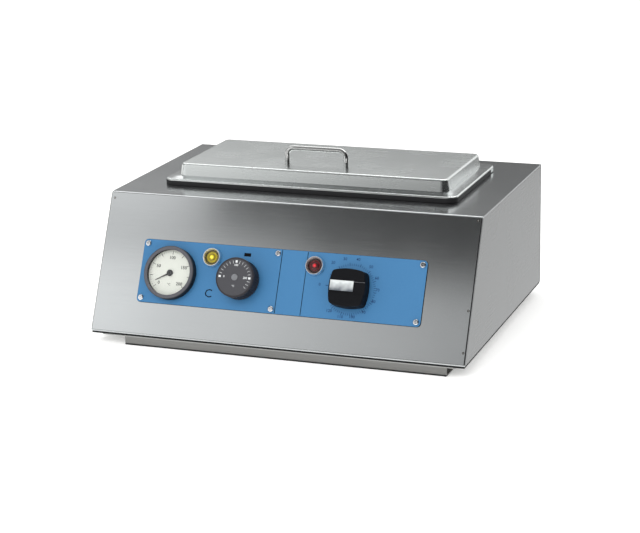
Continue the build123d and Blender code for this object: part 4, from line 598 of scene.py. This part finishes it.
def lens(name, centre, painted_light_stops):
    """Ringed lamp acrylic with painted light: its colours run from over the bulb, 0, out to the
    rim, 1.
    """
    plastic = start_material(name)
    parts = add(plastic, "SeparateXYZ", {"Vector": front_place(plastic, centre)})
    flat = add(plastic, "CombineXYZ", {"X": parts.outputs["X"], "Y": parts.outputs["Y"]})
    radius = add(plastic, "VectorMath", {0: flat.outputs["Vector"]}, operation="LENGTH")
    wave = add(plastic, "Math", {0: radius.outputs["Value"], 1: math.tau / RING_PITCH},
               operation="MULTIPLY")
    rings = add(plastic, "Math", {0: wave.outputs["Value"]}, operation="SINE")
    ramp = add(plastic, "ValToRGB", {"Fac": add(plastic, "MapRange", {
        "Value": radius.outputs["Value"], "From Min": 0,
        "From Max": LENS_RADIUS}).outputs["Result"]})
    stops = ramp.color_ramp.elements
    for i, (place, code) in enumerate(painted_light_stops):
        if 0 < i < len(painted_light_stops) - 1:
            stops.new(place)
        stops[i].position = place
        stops[i].color = linear(code)
    bump = add(plastic, "Bump", {"Height": rings.outputs["Value"], "Strength": 0.6,
                                 "Distance": 0.25 * MM})
    surface = add(plastic, "BsdfPrincipled", {
        "Base Color": ramp.outputs["Color"], "Roughness": 0.12, "IOR": 1.49,
        "Coat Weight": 0.6, "Coat Roughness": 0.04, "Normal": bump.outputs["Normal"]})
    add(plastic, "OutputMaterial", {"Surface": surface.outputs["BSDF"]})
    return plastic


# yellow and red acrylic, glossy and clear, with painted light over the bulb and painted shade in
# the rings round it
AMBER_PAINTED_LIGHT = ((0, "#FFF46A"), (0.2, "#E6D22A"), (0.34, "#8C7C12"), (0.46, "#6C5E0A"), (0.6, "#BCA81E"),
         (0.74, "#766A12"), (0.88, "#403808"), (1, "#1E1A04"))
RUBY_PAINTED_LIGHT = ((0, "#EC3540"), (0.15, "#C01B27"), (0.3, "#4A070C"), (0.5, "#2C0306"), (0.62, "#5A1118"),
        (0.76, "#34060A"), (0.9, "#1C0204"), (1, "#120102"))
dress("yellow_lamp_lens", lens("amber_acrylic", YELLOW_LAMP, AMBER_PAINTED_LIGHT))
dress("red_lamp_lens", lens("ruby_acrylic", RED_LAMP, RUBY_PAINTED_LIGHT))

# Thermostat: the phenolic switch body hangs behind the panel, and its spindle carries a fluted
# grey knob with a flush cap, engraved and filled white.
THERMOSTAT = (-48.4, 76.2)
CAP_FACE = 21.5
CAP_STROKES, CAP_STEP = 18, 90 / 7  # seven steps to a right angle

dress("thermostat_body", phenolic)
dress("thermostat_spindle", zinc)
# moulded ABS: dark grey, rubbed a little smooth on the flutes
skirt_grey = moulded("dark_grey_abs", "#343236", "#222124", 0.42, 0.55, 0.7, 0.1, 0.2)
dress("thermostat_knob", skirt_grey)
# anodised aluminium: mid grey and satin, with almost no metal shine left
cap_grey = moulded("grey_anodised_cap", "#49494D", "#37373B", 0.45, 0.58, 0.8, 0.05, 0.25)
dress("thermostat_knob_cap", cap_grey)

# enamel rubbed into the engraving: chalky white
white_fill = moulded("white_engraving_fill", "#DCDEDF", "#C2C5C6", 0.5, 0.6, 0.6, 0.03)
low, high = CAP_FACE - INK_FOOT, CAP_FACE + INK
marks = bmesh.new()
for step in range(CAP_STROKES):
    foot, end, width = (17.1, 19.9, 2.4) if step in (0, 7, 14) else (16.3, 19.7, 0.34)
    bar(marks, THERMOSTAT, 180 - CAP_STEP * step, foot, end, width, low, high)
for value, angle in ((0, 180), (100, 90), (200, 0)):
    turn = math.radians(angle)
    words(marks, str(value), (THERMOSTAT[0] + 13.2 * math.cos(turn),
                              THERMOSTAT[1] + 14.2 * math.sin(turn)), 2.5, low, high, 0.05)
words(marks, "°C", (THERMOSTAT[0] - 0.5, THERMOSTAT[1] - 10.4), 2.2, low, high, 0.02)
new_piece("thermostat_marks", marks, front, white_fill, "thermostat_control")

# spun aluminium: pale grey, with a weak gloss broken by the turning
hub_grey = plated("spun_aluminium", "#B4B6BA", "#8F9196", 0.3, 0.45, 1.5)
hub = bmesh.new()
turned(hub, [(radius, CAP_FACE + rise) for radius, rise in (
    (0, -0.03), (3.75, -0.03), (3.75, 0.12), (3.3, 0.2), (2.6, 0.14), (2.2, 0.2), (1.4, 0.12),
    (0, 0.2))], THERMOSTAT, 32)
new_piece("thermostat_hub", hub, front, hub_grey, "thermostat_control")

# Timer: a clockwork body behind the panel and a square black knob with a slot across it. A bright
# plate lies in the slot at the pointer's end.
PLATE_MIDDLE = (66.4, 77)

dress("timer_body", phenolic)
dress("timer_spindle", zinc)
# moulded ABS: deep black with a fine matt grain
knob_black = moulded("black_abs", "#141519", "#090A0C", 0.5, 0.62, 0.7, 0.08, 0.12)
dress("timer_knob", knob_black)

# satin aluminium lacquered white, with painted shade that darkens it towards its lower edge in
# soft patches about 9 mm wide
plate_painted_shade = start_material("white_plate_painted_shade")
place = front_place(plate_painted_shade, PLATE_MIDDLE)
up_slope = add(plate_painted_shade, "SeparateXYZ", {"Vector": place}).outputs["Y"]
shade_patch_noise = add(plate_painted_shade, "TexNoise", {"Vector": place, "Scale": 0.11, "Detail": 1})
shift = add(plate_painted_shade, "MapRange", {"Value": shade_patch_noise.outputs["Fac"], "To Min": -6, "To Max": 6})
level = add(plate_painted_shade, "Math", {0: up_slope, 1: shift.outputs["Result"]})
# painted shade: the tone drops from white at the top to dark grey down the plate
tone_blend = add(plate_painted_shade, "MapRange", {"Value": level.outputs["Value"], "From Min": -5,
                                      "From Max": 4})
tone = add(plate_painted_shade, "Mix", {0: tone_blend.outputs["Result"], 6: linear("#5E646B"),
                                 7: linear("#D3D8D8")}, data_type="RGBA")
gloss = add(plate_painted_shade, "MapRange", {"Value": shade_patch_noise.outputs["Fac"], "To Min": 0.35,
                                       "To Max": 0.5})
surface = add(plate_painted_shade, "BsdfPrincipled", {
    "Base Color": tone.outputs[2], "Metallic": 0.25, "Roughness": gloss.outputs["Result"]})
add(plate_painted_shade, "OutputMaterial", {"Surface": surface.outputs["BSDF"]})
dress("timer_knob_plate", plate_painted_shade)
# painted highlight: a thin pale strip for the glint along the top edge of the knob's raised bar
line = bmesh.new()
prism(line, rectangle(94.6, 82.9, 107.9, 83.35), 16.27, 16.34)
new_piece("timer_knob_painted_highlight", line, front, hub_grey, "timer_control")

# Mains inlet and wiring points: a black appliance inlet in the back, with brass pins, a ceramic
# terminal block and an earth stud inside the casing.

# moulded thermoset: black with a low gloss and a faint grain
inlet_black = moulded("black_thermoset", "#202022", "#141416", 0.4, 0.5, 0.7, 0.08)
dress("mains_inlet", inlet_black)
dress("inlet_pins", brass)
dress("inlet_screws", zinc)
dress("terminal_block", steatite)
dress("terminal_screws", brass)
dress("earth_stud", brass)

# Lid: a pressed stainless cover with a polished rim, a liner and wool inside it, and a bent rod
# handle held by nuts. Two riveted hinges join it to the casing's top.
LID_Y = 35.4
CORNER_STEPS = 10
# length, width, corner radius and height of each ring of the ledge, from the dome's foot outwards
# and back underneath. The ledge falls a little, so water runs off it.
LEDGE_RINGS = ((341.6, 147.6, 9.8, 177.3), (348, 154, 11, 176.9), (356, 162, 12, 176.2),
               (365, 173, 11, 175.6), (364, 172, 11, 175.3), (341.6, 147.6, 9.8, 175.3))
SKIRT_LENGTH, SKIRT_WIDTH, SKIRT_CORNER = 368, 176, 12
# how far outside the skirt the edging stands at each height, and where it ends beside the hinges
EDGING_RINGS = ((-0.3, 168.2), (0.5, 168.2), (0.6, 170.5), (0.45, 173.4), (-0.3, 173.6))
EDGING_END = 100

# satin stainless, smoothed by the press: pale, with lines that hardly show
lid_steel = brushed_steel("satin_pressed_stainless", "#D7DBDA", "#D3D7D6", "X", 0.26, 0.3, 1.2,
                          0.004)
dress("lid_shell", lid_steel)


def outline(length, width, corner, z):
    """Points round a rounded rectangle on the lid, from the back right corner round the front."""
    points = []
    for number, (a, b) in enumerate(((1, -1), (-1, -1), (-1, 1), (1, 1))):
        for i in range(CORNER_STEPS + 1):
            turn = math.radians(-90 * number - 90 * i / CORNER_STEPS)
            points.append((a * (length / 2 - corner) + corner * math.cos(turn),
                           LID_Y + b * (width / 2 - corner) + corner * math.sin(turn), z))
    return points


def skirt_run(reach, z):
    """The front and sides of the skirt, from hinge to hinge, at a distance outside it."""
    ring = outline(SKIRT_LENGTH + 2 * reach, SKIRT_WIDTH + 2 * reach, SKIRT_CORNER + reach, z)
    run = ring[:2 * (CORNER_STEPS + 1)]
    return [(run[0][0], EDGING_END, z)] + run + [(run[-1][0], EDGING_END, z)]


def skin(shape, sections, closed=True):
    """Joins sections of equal length, each a list of points, into a closed band."""
    rings = [[shape.verts.new(point) for point in section] for section in sections]
    for here, there in zip(rings, rings[1:] + rings[:1]):
        for i in range(len(here) if closed else len(here) - 1):
            j = (i + 1) % len(here)
            shape.faces.new((here[i], here[j], there[j], there[i]))
    if not closed:
        shape.faces.new([ring[0] for ring in rings])
        shape.faces.new([ring[-1] for ring in rings])


# buffed stainless: the same metal with its lines polished out, so it glints round the dome
buffed_steel = plated("buffed_stainless_rim", "#D8DBDB", "#CACDCD", 0.16, 0.24, 5)
fall = bmesh.new()
skin(fall, [outline(*ring) for ring in LEDGE_RINGS])
new_piece("lid_ledge_fall", fall, Matrix(), buffed_steel, "lid")

# a black silicone edging is pushed over the skirt's front and sides, up to the hinges. It is partly
# painted shadow, standing for the shade under the lid's rim.
edging_and_shadow = bmesh.new()
skin(edging_and_shadow, [skirt_run(*ring) for ring in EDGING_RINGS], closed=False)
new_piece("lid_skirt_edging_and_painted_shadow", edging_and_shadow, Matrix(), silicone, "lid")
dress("lid_liner", tank_steel)
dress("lid_wool", wool)

# polished stainless rod: a bright mirror, hazed a little by hands
polished = plated("polished_stainless_rod", "#CFD0CF", "#BDBEBD", 0.1, 0.18, 6)
dress("lid_handle", polished)
dress("handle_nuts", zinc)
dress("casing_hinge_leaves", mill_steel)
dress("lid_hinge_leaves", mill_steel)
dress("hinge_pins", zinc)
dress("hinge_rivets", zinc)

# Instrument tray: a shallow pan of stainless, pierced with rows of vents, which lifts out of the
# chamber by two grips of bent wire.
dress("instrument_tray", tank_steel)
dress("tray_grips", polished)

# Studio: a white table lit from below in a plain white room, a large soft lamp above and to the
# left, and soft cards that only metal and gloss reflect. Sizes here are in metres.
CARD_LIGHT = 5


def stage_sheet(name, corners, material):
    """One flat sheet of the studio, which isn't part of the object."""
    shape = bmesh.new()
    shape.faces.new([shape.verts.new(corner) for corner in corners])
    mesh = bpy.data.meshes.new(name)
    shape.to_mesh(mesh)
    shape.free()
    mesh.materials.append(material)
    sheet = bpy.data.objects.new(name, mesh)
    bpy.context.scene.collection.objects.link(sheet)
    return sheet


# backlit acrylic: an even white that glows faintly, so shadows on it stay pale and soft
table_white = start_material("backlit_white_acrylic")
place = add(table_white, "TexCoord").outputs["Object"]
cloud = add(table_white, "TexNoise", {"Vector": place, "Scale": 3, "Detail": 2})
tone = add(table_white, "Mix", {0: cloud.outputs["Fac"], 6: linear("#F6F6F5"),
                                7: linear("#FBFBFA")}, data_type="RGBA")
surface = add(table_white, "BsdfPrincipled", {"Base Color": tone.outputs[2], "Roughness": 0.8,
                                              "Specular IOR Level": 0.1,
                                              "Emission Color": tone.outputs[2],
                                              "Emission Strength": 0.32})
add(table_white, "OutputMaterial", {"Surface": surface.outputs["BSDF"]})
stage_sheet("floor", ((-9, -9, 0), (9, -9, 0), (9, 9, 0), (-9, 9, 0)), table_white)

world = bpy.data.worlds.new("studio")
world.use_nodes = True
world.node_tree.nodes.clear()
ray = add(world, "LightPath")
room = add(world, "Background", {"Color": (1, 1, 1, 1), "Strength": 1.05})
mirrored = add(world, "Background", {"Color": (1, 1, 1, 1), "Strength": 0.5})
surface = add(world, "MixShader", {0: ray.outputs["Is Glossy Ray"], 1: room.outputs["Background"],
                                   2: mirrored.outputs["Background"]})
add(world, "OutputWorld", {"Surface": surface.outputs["Shader"]})
bpy.context.scene.world = world


def card(name, corners, rows):
    """A glowing card that only metal and gloss reflect. Each row is a height with the radiance at
    steps along x, and the rows blend into each other."""
    glow = start_material(name)
    parts = add(glow, "SeparateXYZ", {"Vector": add(glow, "TexCoord").outputs["Object"]})
    for number, (height, steps) in enumerate(rows):
        start, end = steps[0][0], steps[-1][0]
        span = add(glow, "MapRange", {"Value": parts.outputs["X"], "From Min": start,
                                      "From Max": end})
        ramp = add(glow, "ValToRGB", {"Fac": span.outputs["Result"]})
        stops = ramp.color_ramp.elements
        for i, (x, radiance) in enumerate(steps):
            if 0 < i < len(steps) - 1:
                stops.new((x - start) / (end - start))
            stops[i].color = [radiance / CARD_LIGHT] * 3 + [1]
        if number == 0:
            shade = ramp.outputs["Color"]
        else:
            level = add(glow, "MapRange", {"Value": parts.outputs["Z"],
                                           "From Min": rows[number - 1][0], "From Max": height},
                        interpolation_type="SMOOTHSTEP")
            shade = add(glow, "Mix", {0: level.outputs["Result"], 6: shade,
                                      7: ramp.outputs["Color"]}, data_type="RGBA").outputs[2]
    light = add(glow, "Emission", {"Color": shade, "Strength": CARD_LIGHT})
    add(glow, "OutputMaterial", {"Surface": light.outputs["Emission"]})
    sheet = stage_sheet(name, corners, glow)
    sheet.visible_camera = False
    sheet.visible_diffuse = False
    sheet.visible_shadow = False
    sheet.visible_transmission = False


# in front: bright at the left and dark at the right, as the sloping front shows it
DIM = ((-0.9, 0.7), (-0.36, 0.5), (-0.2, 0.25), (-0.06, 0.08), (0.9, 0.03))
FRONT_LOW = ((-0.9, 1.6), (-0.49, 1.4), (-0.36, 1.14), (-0.21, 1.0), (-0.1, 0.85), (0.07, 0.66),
             (0.24, 0.4), (0.4, 0.02), (0.9, 0.02))
FRONT_MID = ((-0.9, 0.9), (-0.49, 0.8), (-0.38, 0.6), (-0.31, 0.5), (-0.245, 0.38), (-0.18, 0.15),
             (-0.115, 0.07), (0.044, 0.06), (0.9, 0.02))
FRONT_HIGH = ((-0.9, 1.3), (-0.528, 1.15), (-0.44, 1.04), (-0.39, 0.72), (-0.355, 0.08),
              (-0.24, 0.12), (0.044, 0.09), (0.9, 0.02))
card("front_card",
     ((-1.3, -0.62, 0.05), (0.9, -0.62, 0.05), (0.9, -0.62, 1.1), (-1.3, -0.62, 1.1)),
     ((0.2, DIM), (0.26, FRONT_LOW), (0.39, FRONT_LOW), (0.485, FRONT_MID), (0.55, FRONT_HIGH)))

# behind and above: what the casing's top and the lid show
BACK_LOW = ((-1.6, 0.45), (-0.64, 0.36), (-0.04, 0.2), (0.12, 0.2), (0.3, 0.3), (1.2, 0.4))
BACK_MID = ((-1.6, 0.45), (-0.64, 0.36), (-0.04, 0.2), (0.12, 0.2), (0.3, 1.1), (1.2, 1.5))
BACK_HIGH = ((-1.6, 1.8), (-0.64, 1.7), (-0.04, 1.4), (1.2, 1.8))
card("back_card", ((-1.6, 0.9, 0.02), (1.2, 0.9, 0.02), (1.2, 0.9, 1.5), (-1.6, 0.9, 1.5)),
     ((0.14, BACK_LOW), (0.24, BACK_MID), (0.5, BACK_MID), (0.72, BACK_HIGH)))
card("top_card", ((-1.6, 0.45, 1.5), (1.2, 0.45, 1.5), (1.2, 1.1, 1.5), (-1.6, 1.1, 1.5)),
     ((1.5, ((-0.7, 3.4), (0.5, 5.0))),))

# at the right: the side panel shows the pale table below and a dark room above it
card("side_card",
     ((0.231, -0.5, 0.004), (2.2, -0.5, 0.004), (2.2, 2.4, 0.004), (0.231, 2.4, 0.004)),
     ((0.004, ((0.23, 0.72), (0.45, 0.66), (2.2, 0.6))),))
card("dark_card", ((1.0, -1.7, 0.01), (1.0, 0.89, 0.01), (1.0, 0.89, 1.0), (1.0, -1.7, 1.0)),
     ((0.0, ((0.9, 0.03), (1.1, 0.03))),))

# the lamp shines down at the middle of the object, and isn't mirrored in it
lamp = bpy.data.lights.new("key_softbox", "AREA")
lamp.shape = "RECTANGLE"
lamp.size = 1.4
lamp.size_y = 1.4
lamp.energy = 24
key = bpy.data.objects.new("key_softbox", lamp)
key.matrix_world = Matrix.Translation((-0.35, -1.9, 1.6)) @ (
    Vector((-0.35, -1.9, 1.5)).to_track_quat("Z", "Y").to_matrix().to_4x4())
key.visible_glossy = False
bpy.context.scene.collection.objects.link(key)

# Camera: the photograph's own viewpoint, on the right of the front and a little above it. It was
# solved from the places of the casing's and the panel's corners in the photograph.
AZIMUTH, ELEVATION, ROLL = math.radians(20.7042), math.radians(16.2431), math.radians(-1.3509)
TARGET = Vector((34.024, -99.6016, 94.678)) * MM
DISTANCE = 2.16961
FOCAL_PIXELS, FRAME_PIXELS, SENSOR = 1864.93, 640, 36
back = Vector((math.sin(AZIMUTH) * math.cos(ELEVATION), -math.cos(AZIMUTH) * math.cos(ELEVATION),
               math.sin(ELEVATION)))
right = Vector((math.cos(AZIMUTH), math.sin(AZIMUTH), 0))
up = back.cross(right)
side = right * math.cos(ROLL) + up * math.sin(ROLL)
head = up * math.cos(ROLL) - right * math.sin(ROLL)
lens_data = bpy.data.cameras.new("photo_camera")
lens_data.sensor_width = SENSOR
lens_data.lens = FOCAL_PIXELS * SENSOR / FRAME_PIXELS
camera = bpy.data.objects.new("photo_camera", lens_data)
camera.matrix_world = Matrix.Translation(TARGET + back * DISTANCE) @ (
    Matrix((side, head, back)).transposed().to_4x4())
bpy.context.scene.collection.objects.link(camera)
bpy.context.scene.camera = camera
bpy.context.scene.view_settings.view_transform = "Standard"
